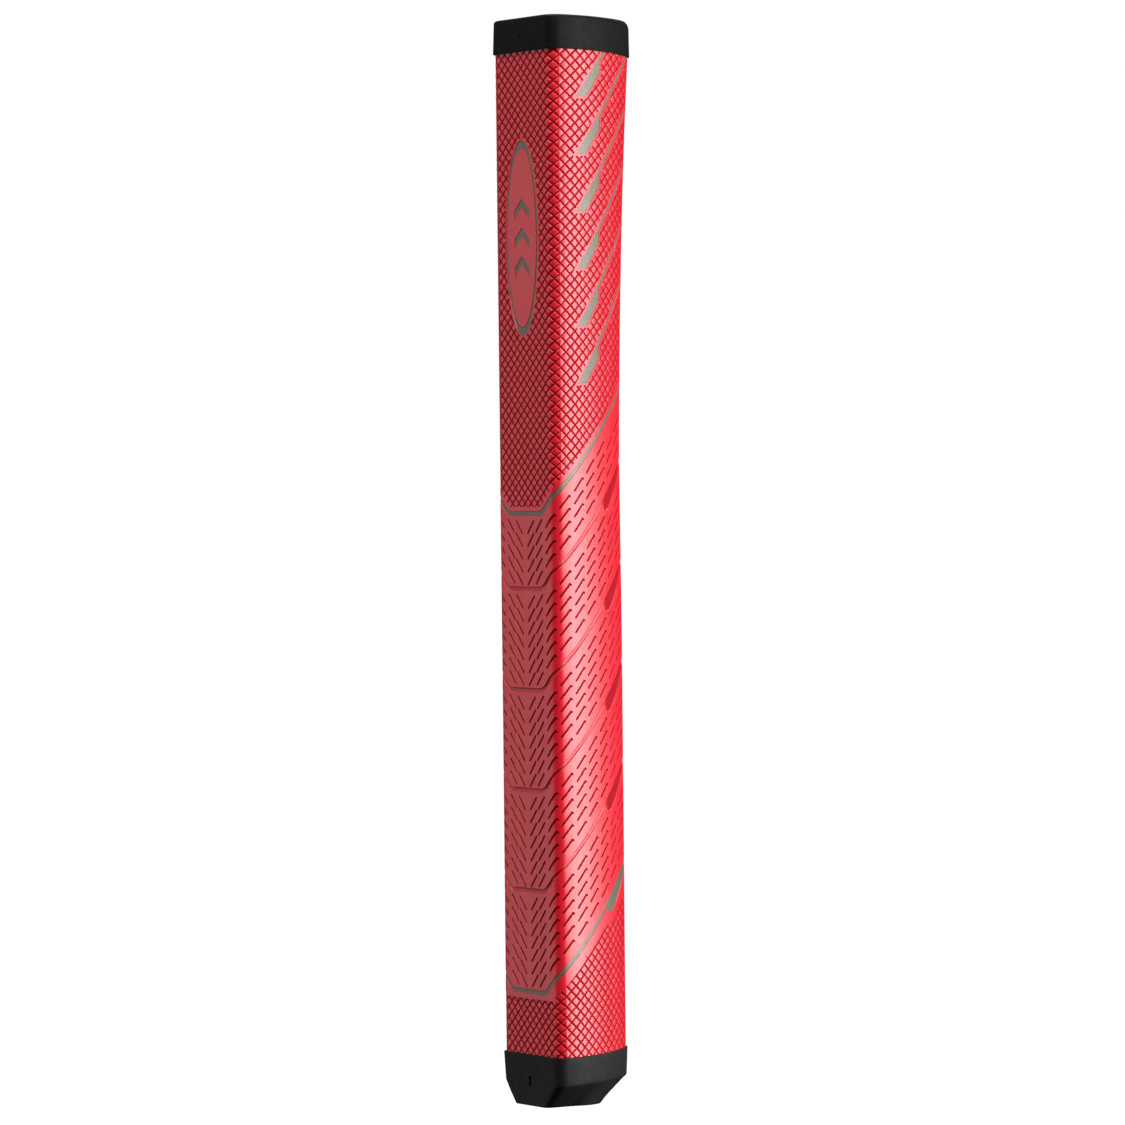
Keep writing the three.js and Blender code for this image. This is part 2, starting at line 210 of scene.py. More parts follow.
def loop_distance(loop: Sequence[Place], points: np.ndarray, margin: float = 0.6) -> np.ndarray:
    """Measure how far inside a closed loop each point lies.

    Args:
        loop: the loop's corners.
        points: one row for each point.
        margin: how far outside the loop a distance still matters.

    Returns:
        Distances, positive inside and negative outside.
    """
    corners = np.array(loop)
    found = np.full(len(points), -margin * 10)
    low = corners.min(0) - margin
    high = corners.max(0) + margin
    near = np.all((points >= low) & (points <= high), axis=1)
    chosen = points[near]
    best = np.full(len(chosen), np.inf)
    inside = np.zeros(len(chosen), bool)
    for a, b in zip(corners, np.roll(corners, -1, 0)):
        edge = b - a
        if not edge.any():
            continue
        share = np.clip((chosen - a) @ edge / (edge @ edge), 0, 1)
        gap = chosen - a - share[:, None] * edge
        best = np.minimum(best, np.hypot(gap[:, 0], gap[:, 1]))
        crosses = (a[1] > chosen[:, 1]) != (b[1] > chosen[:, 1])
        rise = edge[1] if edge[1] != 0 else 1.0
        inside ^= crosses & (chosen[:, 0] < a[0] + (chosen[:, 1] - a[1]) * edge[0] / rise)
    found[near] = np.where(inside, best, -best)
    return found


def grown(loop: Sequence[Place], margin: float) -> Loop:
    """Move a closed loop outwards.

    Args:
        loop: the corners.
        margin: how far it moves, inwards if negative.

    Returns:
        The corners of the moved loop.
    """
    corners = np.array(loop)
    nxt = np.roll(corners, -1, 0)
    area = np.sum(corners[:, 0] * nxt[:, 1] - nxt[:, 0] * corners[:, 1])
    run = nxt - corners
    run = run / np.linalg.norm(run, axis=1)[:, None]
    out = np.stack([run[:, 1], -run[:, 0]], 1) * (1 if area > 0 else -1)
    before = np.roll(out, 1, 0)
    middle = before + out
    stretch = np.sum(middle * middle, axis=1) / 2
    moved = corners + margin * middle / np.maximum(stretch, 0.35)[:, None]
    return [(float(x), float(z)) for x, z in moved]


@dataclass
class Layout:
    """Lines laid out on the unrolled skin, ready to be cut into triangles."""

    points: list[Place] = field(default_factory=list)
    lines: list[tuple[int, int]] = field(default_factory=list)

    def draw(self, places: Iterable[Place], closed: bool = False) -> None:
        """Add a chain of straight lines.

        Args:
            places: the corners of the chain.
            closed: whether the last corner joins the first.
        """
        first = len(self.points)
        self.points.extend(places)
        last = len(self.points) - 1
        self.lines.extend((i, i + 1) for i in range(first, last))
        if closed:
            self.lines.append((last, first))

    def triangles(self, keep: Callable[[np.ndarray], np.ndarray]) -> tuple[np.ndarray, np.ndarray]:
        """Cut the layout into triangles along its lines.

        Args:
            keep: tells for each triangle's middle whether the triangle stays.

        Returns:
            The points, one row each, and the triangles as rows of three indices.
        """
        cut = delaunay_2d_cdt([Vector(p) for p in self.points], self.lines, [], 0, SAME_PLACE)
        points = np.array([tuple(p) for p in cut[0]])
        faces = np.array(cut[2])
        faces = faces[keep(points[faces].mean(1))]
        used = np.unique(faces)
        renumber = np.zeros(len(points), int)
        renumber[used] = np.arange(len(used))
        return points[used], renumber[faces]


def rim_edges(faces: np.ndarray) -> list[tuple[int, int]]:
    """Return the directed edges that only one triangle uses."""
    edges = {(int(a), int(b)) for face in faces for a, b in zip(face, np.roll(face, -1))}
    return [(a, b) for a, b in edges if (b, a) not in edges]


def wrapped_solid(
    layout: Layout,
    keep: Callable[[np.ndarray], np.ndarray],
    top: Callable[[np.ndarray], np.ndarray],
    bottom: float,
    girth_lines: Sequence[float],
    mirrored: bool = False,
    painted_shade: Callable[[np.ndarray], np.ndarray] | None = None,
) -> bmesh.types.BMesh:
    """Wrap a layout round the grip as a closed body with an even underside.

    Args:
        layout: the lines of the outer face.
        keep: tells which triangles stay, by their middles.
        top: gives the depth of the outer face at each point.
        bottom: the depth of the underside.
        girth_lines: girth distances where the underside bends.
        mirrored: whether the layout is one half, mirrored across the middle.
        painted_shade: gives the painted shade of the outer face at each point, how dark its recesses are
            painted, kept on the mesh.

    Returns:
        The closed mesh.
    """
    points, faces = layout.triangles(keep)
    if mirrored:
        faces = faces[np.abs(points[faces][:, :, 0]).max(1) > SAME_PLACE]
    rim = rim_edges(faces)
    under = Layout()
    for a, b in rim:
        under.draw([tuple(points[a]), tuple(points[b])])
    low, high = points.min(0), points.max(0)
    for along in girth_lines:
        if low[0] < along < high[0]:
            under.draw([(along, low[1]), (along, high[1])])
    for height in spaced(low[1], high[1], UNDERSIDE_STEP)[1:-1]:
        under.draw([(low[0], height), (high[0], height)])
    under_points, under_faces = under.triangles(keep)
    if mirrored:
        under_faces = under_faces[np.abs(under_points[under_faces][:, :, 0]).max(1) > SAME_PLACE]
    mesh = bmesh.new()
    outer = SECTION.place(points[:, 0], points[:, 1], top(points))
    inner = SECTION.place(under_points[:, 0], under_points[:, 1], bottom)
    # Painted shade: each outer vertex keeps how dark its recess is painted.
    darkness = mesh.verts.layers.float.new(PAINTED_SHADE_LAYER)
    shade = painted_shade(points) if painted_shade else np.zeros(len(points))
    outer_verts = [mesh.verts.new(place) for place in outer]
    for vert, value in zip(outer_verts, shade):
        vert[darkness] = float(value)
    inner_verts = [mesh.verts.new(place) for place in inner]
    for face in faces:
        mesh.faces.new([outer_verts[i] for i in face])
    for face in under_faces:
        mesh.faces.new([inner_verts[i] for i in reversed(face)])

    def key(place: np.ndarray) -> Place:
        """Return a place rounded, so that the same place is found in both layouts."""
        return round(float(place[0]), 4), round(float(place[1]), 4)

    lookup = {key(place): i for i, place in enumerate(under_points)}
    for a, b in rim:
        if mirrored and max(abs(points[a][0]), abs(points[b][0])) < ON_MIDDLE:
            continue
        pair = [lookup.get(key(points[i])) for i in (a, b)]
        if None in pair or pair[0] == pair[1]:
            log.warning("a wall has no lower edge at %s", points[a])
            continue
        mesh.faces.new([outer_verts[b], outer_verts[a], inner_verts[pair[0]], inner_verts[pair[1]]])
    if mirrored:
        geometry = mesh.verts[:] + mesh.edges[:] + mesh.faces[:]
        bmesh.ops.mirror(mesh, geom=geometry, matrix=Matrix(), merge_dist=MIRROR_MERGE, axis="X")
    bmesh.ops.remove_doubles(mesh, verts=mesh.verts[:], dist=WALL_MERGE)
    bmesh.ops.recalc_face_normals(mesh, faces=mesh.faces[:])
    return mesh


def spaced(start: float, end: float, step: float) -> list[float]:
    """Return even places from start to end, no further apart than a step."""
    count = max(1, math.ceil((end - start) / step))
    return [start + (end - start) * i / count for i in range(count + 1)]


def girth_bends(scale: float = 1.0) -> list[float]:
    """List where a wrapped face has to bend on one half.

    Args:
        scale: how much wider apart the bends lie than usual.

    Returns:
        Girth distances.
    """
    bends: list[float] = []
    start = SECTION.flat_half
    for arc, step in zip(SECTION.arcs, BEND_STEPS):
        bends += spaced(start, start + arc.length, step * scale)[:-1]
        start += arc.length
    return bends


@dataclass(frozen=True)
class Diamonds:
    """The cross-cut diamonds of the skin: V grooves between low cushioned lands."""

    across: float = 2.906
    tall: float = 2.54
    phase_column: int = 9
    groove: float = 0.23
    land_edge: float = 0.05
    land_inner: float = 0.02
    groove_share: float = 0.15
    land_share: float = 0.215

    def depth(self, points: np.ndarray, phase: float | np.ndarray) -> np.ndarray:
        """Measure the pattern.

        Args:
            points: one row for each point: its girth distance and its height.
            phase: a height at which two grooves cross.

        Returns:
            The depth at each point.
        """
        half = self.across / 2
        turn = (points[:, 0] - self.phase_column * half) / self.across
        rise = (points[:, 1] - phase) / self.tall
        first = turn + rise
        second = turn - rise
        near = np.minimum(np.abs(first - np.round(first)), np.abs(second - np.round(second)))
        stops = [0, self.groove_share, self.land_share, 0.5]
        return np.interp(near, stops, [self.groove, self.land_edge, self.land_inner, 0.0])

    def darkness(self, points: np.ndarray, phase: np.ndarray) -> np.ndarray:
        """Return how far down a groove each point lies, from 0 to 1: the groove's painted shade."""
        below_land = self.depth(points, phase) - self.land_edge
        return np.clip(below_land / (self.groove - self.land_edge), 0, 1)

    def draw(self, layout: Layout, phase: float, low: float, high: float, wanted: Callable) -> None:
        """Draw every cell of a height range: its grooves and the two rings of its land.

        Args:
            layout: receives the lines.
            phase: a height of a groove crossing on the ninth half pitch.
            low: where the range starts.
            high: where the range ends.
            wanted: tells which cells are drawn, by rows of their corners.
        """
        half = self.across / 2
        step = self.tall / 2
        columns = int(SECTION.half_girth / half) + 1
        first = math.floor((low - phase) / step) - 1
        last = math.ceil((high - phase) / step) + 1
        for i in range(columns + 1):
            for j in range(first, last + 1):
                if (i - self.phase_column + j) % 2 == 0:
                    continue
                centre = np.array([i * half, phase + j * step])
                corners = np.array([(half, 0), (0, step), (-half, 0), (0, -step)])
                if not wanted(centre + corners).any():
                    continue
                for share in (0.0, self.groove_share, self.land_share):
                    ring = centre + corners * (1 - 2 * share)
                    layout.draw([tuple(p) for p in ring], closed=True)


LEAF_EDGE: tuple[Place, ...] = (
    (30.2, -0.76),
    (30.45, -1.9),
    (31.0, -2.9),
    (31.8, -3.8),
    (33.0, -4.4),
    (34.5, -4.4),
    (37.0, -3.85),
    (39.5, -3.0),
    (42.0, -2.0),
)


@dataclass(frozen=True)
class Line:
    """A line that crosses the thumb face level and climbs round both flanks.

    With a leaf it widens behind each shoulder into a leaf-shaped field.
    """

    level: float
    leaf: bool = False
    bend: float = 8.0
    bend_round: float = 1.6
    slope: float = 0.955
    half: float = 0.55
    end: float = 42.0

    def middle(self, along: float) -> float:
        """Follow the line's middle, with a rounded bend.

        Args:
            along: a girth distance.

        Returns:
            The height there.
        """
        past = abs(along) - self.bend
        if past <= -self.bend_round:
            return self.level
        if past >= self.bend_round:
            return self.level + self.slope * past
        return self.level + self.slope * (past + self.bend_round) ** 2 / (4 * self.bend_round)

    def slant(self, along: float) -> float:
        """Return how much taller the line stands for its width at a girth distance."""
        past = abs(along) - self.bend + self.bend_round
        share = min(1.0, max(0.0, past / (2 * self.bend_round)))
        return math.hypot(1, self.slope * share)

    def lower(self, along: float) -> float:
        """Follow the line's lower edge.

        Args:
            along: a girth distance.

        Returns:
            The height there.
        """
        edge = -self.half * self.slant(along)
        if self.leaf and abs(along) > LEAF_EDGE[0][0]:
            edge = float(np.interp(abs(along), *zip(*LEAF_EDGE)))
        return self.middle(along) + edge

    def upper(self, along: float) -> float:
        """Return the height of the line's upper edge."""
        return self.middle(along) + self.half * self.slant(along)

    def stations(self) -> list[float]:
        """Return the girth distances, on one half, where the edges turn."""
        bend = spaced(self.bend - self.bend_round, self.bend + self.bend_round, 0.5)
        behind = [along for along, _ in LEAF_EDGE[:-1]] if self.leaf else [26.0, 34.0]
        return [*bend, 14.0, 20.0, *behind, self.end]

    def half_loop(self) -> Loop:
        """Return the outline on one half, closed along the middle of the thumb face."""
        places = [-3.0, *self.stations()]
        lower = [(along, self.lower(along)) for along in places]
        upper = [(along, self.upper(along)) for along in reversed(places)]
        return lower + upper

    def whole_loop(self) -> Loop:
        """Return the whole outline, from one end behind the grip to the other."""
        half = self.stations()
        places = [-along for along in reversed(half)] + half
        lower = [(along, self.lower(along)) for along in places]
        upper = [(along, self.upper(along)) for along in reversed(places)]
        return lower + upper


@dataclass(frozen=True)
class Slash:
    """One silver slash: a short wide bar on the shoulder that runs on as a thin tail."""

    index: int
    first_height: float = 247.1
    pitch: float = 14.0
    start: float = 19.1
    drift: float = 0.16
    slope: float = 1.27
    width: float = 3.45
    tail: float = 1.15
    reach: float = 8.4
    end: float = 41.0
    ceiling: float = 258.5

    def loop(self, side: Side = Side.RIGHT) -> Loop:
        """Draw the slash's outline.

        Args:
            side: the flank it lies on.

        Returns:
            The outline.
        """
        left = self.start + self.drift * self.index
        base = self.first_height - self.pitch * self.index
        shoulder = left + self.reach
        body_end = base + self.slope * (self.reach - self.width)
        tail_start = base + self.slope * (self.reach - self.tail)
        top = min(base + self.slope * (self.end - left - self.tail), self.ceiling)
        tip = left + (top - base) / self.slope
        loop = [(left, base), (left + self.width, base + 0.1), (shoulder, body_end)]
        if top > tail_start:
            loop += [(shoulder, tail_start), (tip + self.tail, top), (tip, top)]
        else:
            loop += [(shoulder, top), (tip, top)]
        return [(side.value * along, height) for along, height in loop]


@dataclass(frozen=True)
class Emblem:
    """The tall elliptical ring on the thumb face with three chevrons in it."""

    height: float = 213.0
    half_width: float = 7.2
    half_height: float = 23.9
    rim_side: float = 0.75
    rim_end: float = 2.0
    border: float = 0.45
    chevron_half: float = 3.4
    chevron_rise: float = 3.0
    chevron_thick: float = 2.2
    chevron_pitch: float = 7.0

    def ellipse(self, wide: float, tall: float, count: int = 96) -> Loop:
        """Return an ellipse round the emblem's middle."""
        turns = [2 * math.pi * i / count for i in range(count)]
        return [(wide * math.sin(t), self.height + tall * math.cos(t)) for t in turns]

    def outer(self, margin: float = 0.0) -> Loop:
        """Return the ring's outer edge, grown by a margin."""
        return self.ellipse(self.half_width + margin, self.half_height + margin)

    def inner(self, margin: float = 0.0) -> Loop:
        """Return the ring's inner edge, shrunk by a margin."""
        wide = self.half_width - self.rim_side - margin
        return self.ellipse(wide, self.half_height - self.rim_end - margin)

    def chevron(self, index: int) -> Loop:
        """Draw the outline of one chevron.

        Args:
            index: its number, counted from the lowest.

        Returns:
            The outline.
        """
        middle = self.height + self.chevron_pitch * (index - 1)
        half = self.chevron_thick / 2
        rise = self.chevron_rise / 2
        foot = middle - rise
        places = [(-self.chevron_half, foot), (0.0, middle + rise), (self.chevron_half, foot)]
        lower = [(along, height - half) for along, height in places]
        upper = [(along, height + half) for along, height in reversed(places)]
        return lower + upper


@dataclass(frozen=True)
class Dash:
    """One short slit of the dashed zone, leaning at about half a right angle."""

    along: float
    height: float
    hooked: bool
    run: float = 2.75
    rise: float = 3.0
    half: float = 0.31
    wall: float = 0.04
    hook: tuple[float, float] = (0.34, -0.12)
    near_shift: float = 1.5
    near_reach: float = 2.5

    def chain(self) -> np.ndarray:
        """Return the slit's centre line."""
        tip = (self.along + self.run, self.height + self.rise)
        places = [(self.along, self.height), tip]
        if self.hooked:
            places.append((tip[0] + self.hook[0], tip[1] + self.hook[1]))
        return np.array(places)

    def inward(self, points: np.ndarray) -> tuple[np.ndarray, np.ndarray]:
        """Find the points by the slit.

        Args:
            points: one row for each point.

        Returns:
            Which points lie by the slit, and how far inside its edge each of them is.
        """
        middle = (self.along + self.near_shift, self.height + self.near_shift)
        near = np.abs(points - middle).max(1) < self.near_reach
        return near, loop_distance(self.outline(self.half), points[near])

    def outline(self, half: float) -> Loop:
        """Draw the rounded outline.

        Args:
            half: its distance from the centre line.

        Returns:
            The outline.
        """
        chain = self.chain()
        loop: Loop = []
        for step in (1, -1):
            run = chain if step == 1 else chain[::-1]
            for index, (a, b) in enumerate(zip(run, run[1:])):
                lean = math.atan2(b[1] - a[1], b[0] - a[0])
                side = (half * math.sin(lean), -half * math.cos(lean))
                if not loop:
                    loop.append((a[0] + side[0], a[1] + side[1]))
                if index < len(run) - 2:
                    after = math.atan2(run[index + 2][1] - b[1], run[index + 2][0] - b[0])
                    lean = (lean + after) / 2
                    reach = half / math.cos((after - lean))
                    loop.append((b[0] + reach * math.sin(lean), b[1] - reach * math.cos(lean)))
                    continue
                for turn in (-90, -30, 30, 90):
                    heading = lean + math.radians(turn)
                    loop.append((b[0] + half * math.cos(heading), b[1] + half * math.sin(heading)))
        return loop[:-1]


@dataclass(frozen=True)
class DashColumn:
    """A column of dashes: where it starts, how far up its first slit is, and how many."""

    along: float
    first: float
    count: int
    spread: float
    hooked: bool


@dataclass(frozen=True)
class DashField:
    """The dashed zone between two climbing lines, filled column by column."""

    pitch: float = 3.15
    columns: tuple[DashColumn, ...] = (
        DashColumn(1.3, -4.8, 7, 0.0, False),
        DashColumn(5.1, -4.5, 7, 0.0, False),
        DashColumn(9.8, -3.4, 6, 0.1, True),
        DashColumn(14.0, 1.3, 6, 0.4, True),
        DashColumn(18.55, 5.55, 6, 0.45, True),
        DashColumn(23.0, 9.9, 6, 0.4, True),
        DashColumn(27.7, 14.3, 6, 0.4, True),
        DashColumn(32.3, 15.6, 5, 0.4, False),
        DashColumn(36.4, 20.0, 5, 0.4, False),
        DashColumn(39.7, 23.4, 5, 0.4, False),
    )

    def dashes(self, level: float, missing: int = 0) -> list[Dash]:
        """List the slits of one band.

        Args:
            level: the level of the line above the band.
            missing: how many slits the top of each column lacks.

        Returns:
            The slits of one half.
        """
        made = []
        for column in self.columns:
            for index in range(missing, column.count):
                last = column.spread if index == column.count - 1 else 0.0
                height = level + column.first - self.pitch * index - last
                made.append(Dash(column.along, height, column.hooked))
        return made


@dataclass
class SkinRelief:
    """Everything moulded in the skin's outer face, as lines and as depths."""

    low: float = 12.62
    high: float = 258.58
    edge: float = 43.22
    thickness: float = 1.15
    upper_phase: float = 255.85
    lower_phase: float = 18.6
    ramp: float = 0.12
    border: float = 0.5
    recess: float = 0.42
    recess_wall: float = 0.05
    fit: float = 0.02
    channel_profile: tuple[Place, ...] = ((0.0, 0.0), (0.1, 0.3), (0.3, 0.4), (0.5, 0.42))
    # Painted shade of the channels round the girth: faint on the thumb face, darker in the leaves behind the
    # shoulders.
    channel_darkness: tuple[Place, ...] = ((30.0, 0.07), (31.5, 0.36))
    slit_depth: float = 0.2
    slit_floor: float = 0.24
    dashes_above: float = 24.7
    diamonds: Diamonds = Diamonds()
    emblem: Emblem = Emblem()
    slashes: tuple[Slash, ...] = tuple(Slash(index) for index in range(6))
    upper_accent: Line = Line(145.5)
    lower_accent: Line = Line(28.1, leaf=True)
    channels: tuple[Line, ...] = (
        Line(127.0, leaf=True),
        Line(102.2, leaf=True),
        Line(77.6, leaf=True),
        Line(53.0, leaf=True),
    )
    dash_field: DashField = DashField()
    upper_border: tuple[Place, ...] = ((-5.0, 147.0), (7.3, 147.0), (43.6, 181.7))
    lower_border: tuple[Place, ...] = (
        (-5.0, 26.3),
        (10.6, 26.3),
        (29.3, 43.9),
        (32.2, 44.6),
        (34.3, 45.8),
        (43.6, 55.8),
    )

    def __post_init__(self) -> None:
        """Work out the loops that the depths and the lines share."""
        self.plain = [grown(slash.loop(), self.border) for slash in self.slashes]
        self.plain.append(self.emblem.outer(self.emblem.border))
        filled = [slash.loop() for slash in self.slashes]
        filled += [line.half_loop() for line in (self.upper_accent, self.lower_accent)]
        filled += [self.emblem.chevron(index) for index in range(3)]
        self.fills = [grown(loop, self.fit) for loop in filled]
        levels = [line.level for line in self.channels]
        self.slits = self.dash_field.dashes(levels[0] + self.dashes_above, missing=2)
        for level in levels:
            self.slits += self.dash_field.dashes(level)

    def share(self, points: np.ndarray) -> np.ndarray:
        """Find how much of the diamond pattern shows.

        Args:
            points: one row for each point: its girth distance and its height.

        Returns:
            A share from 0 to 1 for each point.
        """
        upper = np.interp(points[:, 0], *zip(*self.upper_border))
        lower = np.interp(points[:, 0], *zip(*self.lower_border))
        above = np.clip((points[:, 1] - upper) / self.ramp, 0, 1)
        for loop in self.plain:
            above = above * np.clip(-loop_distance(loop, points) / self.ramp, 0, 1)
        under = np.clip((lower - points[:, 1]) / self.ramp, 0, 1)
        return np.maximum(above, under)

    def phase(self, points: np.ndarray) -> np.ndarray:
        """Return the height that the diamonds are counted from at each point."""
        middle = (self.low + self.high) / 2
        return np.where(points[:, 1] > middle, self.upper_phase, self.lower_phase)

    def depth(self, points: np.ndarray) -> np.ndarray:
        """Measure the skin's outer face.

        Args:
            points: one row for each point: its girth distance and its height.

        Returns:
            The depth at each point.
        """
        depth = self.share(points) * self.diamonds.depth(points, self.phase(points))
        sunk = [loop_distance(loop, points) for loop in self.fills]
        sunk.append(
            np.minimum(
                loop_distance(self.emblem.outer(self.fit), points),
                -loop_distance(self.emblem.inner(self.fit), points, margin=4.0),
            )
        )
        for inward in sunk:
            depth = np.maximum(depth, np.interp(inward, [0, self.recess_wall], [0, self.recess]))
        for line in self.channels:
            inward = loop_distance(line.half_loop(), points)
            depth = np.maximum(depth, np.interp(inward, *zip(*self.channel_profile)))
        for slit in self.slits:
            near, inward = slit.inward(points)
            profile = np.interp(inward, [0, slit.wall, slit.half], [0, self.slit_depth, self.slit_floor])
            depth[near] = np.maximum(depth[near], profile)
        return depth

    def darkness(self, points: np.ndarray) -> np.ndarray:
        """Find the painted shade of the moulded face: how dark its grooves, channels and slits are painted.

        Args:
            points: one row for each point: its girth distance and its height.

        Returns:
            A share from 0 to 1 for each point.
        """
        dark = self.share(points) * self.diamonds.darkness(points, self.phase(points))
        # The channels' painted shade, darker in the leaves behind the shoulders.
        leaf = np.interp(points[:, 0], *zip(*self.channel_darkness))
        for line in self.channels:
            inward = loop_distance(line.half_loop(), points)
            dark = np.maximum(dark, leaf * np.interp(inward, [0.0, 0.3], [0.3, 1.0]) * (inward > 0))
        # The slits are painted dark as shade from their edge inwards.
        for slit in self.slits:
            near, inward = slit.inward(points)
            dark[near] = np.maximum(dark[near], np.interp(inward, [0.0, slit.wall], [0.0, 1.0]))
        return dark

    def layout(self) -> Layout:
        """Draw everything on one half of the skin.

        Returns:
            The lines.
        """
        layout = Layout()
        self.draw_frame(layout)
        self.diamonds.draw(layout, self.upper_phase, 140.0, self.high, self.share)
        self.diamonds.draw(layout, self.lower_phase, self.low, 60.0, self.share)
        for loop in self.plain:
            layout.draw(loop, closed=True)
            layout.draw(grown(loop, self.ramp), closed=True)
        for loop in self.fills:
            layout.draw(loop, closed=True)
            layout.draw(grown(loop, -self.recess_wall), closed=True)
        outer, inner = self.emblem.outer(self.fit), self.emblem.inner(self.fit)
        wall = self.recess_wall
        for loop in (outer, inner, grown(outer, -wall), grown(inner, wall)):
            layout.draw(loop, closed=True)
        for line in self.channels:
            loop = line.half_loop()
            for inset, _ in self.channel_profile:
                layout.draw(grown(loop, -inset), closed=True)
        for slit in self.slits:
            layout.draw(slit.outline(slit.half), closed=True)
            layout.draw(slit.outline(slit.half - slit.wall), closed=True)
            layout.draw([tuple(place) for place in slit.chain()])
        return layout

    def draw_frame(self, layout: Layout) -> None:
        """Draw the skin's edges, its borders and the lines where it bends.

        Args:
            layout: receives the lines.
        """
        for along in (0.0, self.edge):
            layout.draw([(along, height) for height in spaced(self.low, self.high, UNDERSIDE_STEP)])
        for height in (self.low, self.high):
            layout.draw([(0.0, height), (self.edge, height)])
        for along in girth_bends():
            if along < self.edge:
                layout.draw([(along, self.low), (along, self.high)])
        for height in spaced(60.0, 144.0, 7.0):
            layout.draw([(0.0, height), (self.edge, height)])
        for height in spaced(144.0, 250.0, 7.0)[1:]:
            layout.draw([(36.0, height), (self.edge, height)])
        for border, step in ((self.upper_border, self.ramp), (self.lower_border, -self.ramp)):
            layout.draw(border)
            layout.draw([(along, height + step) for along, height in border])

    def keep(self, points: np.ndarray) -> np.ndarray:
        """Tell which triangle middles lie on this half of the skin."""
        inside = (points[:, 0] > 0) & (points[:, 0] < self.edge)
        return inside & (points[:, 1] > self.low) & (points[:, 1] < self.high)


class Link:
    """A shader socket that takes part in Python arithmetic."""

    def __init__(self, shader: "Shader", socket: bpy.types.NodeSocket) -> None:
        """Keep the shader and the socket."""
        self.shader = shader
        self.socket = socket

    def _math(self, operation: str, *values: "Link | float") -> "Link":
        """Return the result of a Math node."""
        return self.shader.node("ShaderNodeMath", dict(operation=operation), list(values))

    def __add__(self, other: "Link | float") -> "Link":
        """Add."""
        return self._math("ADD", self, other)

    def __radd__(self, other: float) -> "Link":
        """Add, with the number first."""
        return self._math("ADD", other, self)

    def __sub__(self, other: "Link | float") -> "Link":
        """Subtract."""
        return self._math("SUBTRACT", self, other)

    def __rsub__(self, other: float) -> "Link":
        """Subtract from a number."""
        return self._math("SUBTRACT", other, self)

    def __mul__(self, other: "Link | float") -> "Link":
        """Multiply."""
        return self._math("MULTIPLY", self, other)

    def __rmul__(self, other: float) -> "Link":
        """Multiply, with the number first."""
        return self._math("MULTIPLY", other, self)


class Shader:
    """Builds one material's nodes."""

    def __init__(self, name: str) -> None:
        """Start a material with an empty tree.

        Args:
            name: the material's name.
        """
        self.material = bpy.data.materials.new(name)
        self.material.use_nodes = True
        self.tree = self.material.node_tree
        self.tree.nodes.clear()
        self.place = self.node("ShaderNodeTexCoord", {}, {}, "Object")

    def node(
        self,
        kind: str,
        settings: dict,
        inputs: "dict[str, object] | list[object]",
        output: str | int = 0,
    ) -> Link:
        """Add a node.

        Args:
            kind: the node's type.
            settings: its properties, set before its sockets.
            inputs: values or links by socket name, or in order.
            output: the name or index of the socket handed back.

        Returns:
            The link of the chosen output.
        """
        node = self.tree.nodes.new(kind)
        for key, value in settings.items():
            setattr(node, key, value)
        pairs = inputs.items() if isinstance(inputs, dict) else enumerate(inputs)
        for key, value in pairs:
            if isinstance(value, Link):
                self.tree.links.new(value.socket, node.inputs[key])
            else:
                node.inputs[key].default_value = value
        return Link(self, node.outputs[output])

    def noise(self, scale: float, detail: float = 3.0, roughness: float = 0.55) -> Link:
        """Return a noise on the object's own coordinates, its scale in turns per metre."""
        inputs = {"Vector": self.place, "Scale": scale, "Detail": detail, "Roughness": roughness}
        return self.node("ShaderNodeTexNoise", {}, inputs, 0)

    def mix(self, share: Link, first: tuple, second: tuple) -> Link:
        """Mix two colours.

        Args:
            share: how much of the second shows.
            first: a colour or the link of one.
            second: a colour or the link of one.

        Returns:
            The mixed colour.
        """
        node = self.tree.nodes.new("ShaderNodeMix")
        node.data_type = "RGBA"
        self.tree.links.new(share.socket, node.inputs["Factor"])
        colours = [socket for socket in node.inputs if socket.type == "RGBA"]
        for socket, colour in zip(colours, (first, second)):
            if isinstance(colour, Link):
                self.tree.links.new(colour.socket, socket)
            else:
                socket.default_value = colour
        result = [socket for socket in node.outputs if socket.type == "RGBA"][0]
        return Link(self, result)

    def ramp(self, value: Link, low: float, high: float) -> Link:
        """Return a value stretched from a range to 0 to 1."""
        inputs = {"Value": value, "From Min": low, "From Max": high}
        return self.node("ShaderNodeMapRange", {}, inputs, 0)

    def bump(self, height: Link, distance: float, strength: float = 1.0) -> Link:
        """Return a normal bumped by a height."""
        inputs = {"Height": height, "Distance": distance, "Strength": strength}
        return self.node("ShaderNodeBump", {}, inputs, 0)

    def surface(self, **inputs: object) -> Link:
        """Add a Principled shader, from socket names with underscores for spaces."""
        named = {key.replace("_", " "): value for key, value in inputs.items()}
        return self.node("ShaderNodeBsdfPrincipled", {}, named, 0)

    def close(self, surface: Link) -> bpy.types.Material:
        """Give a shader to the material's output and return the material."""
        out = self.tree.nodes.new("ShaderNodeOutputMaterial")
        self.tree.links.new(surface.socket, out.inputs["Surface"])
        return self.material


BROAD_SCALE = 90.0
WANDER_SCALE = 400.0
MATT_ROUGHNESS = 0.7
MATT_SPECULAR = 0.1


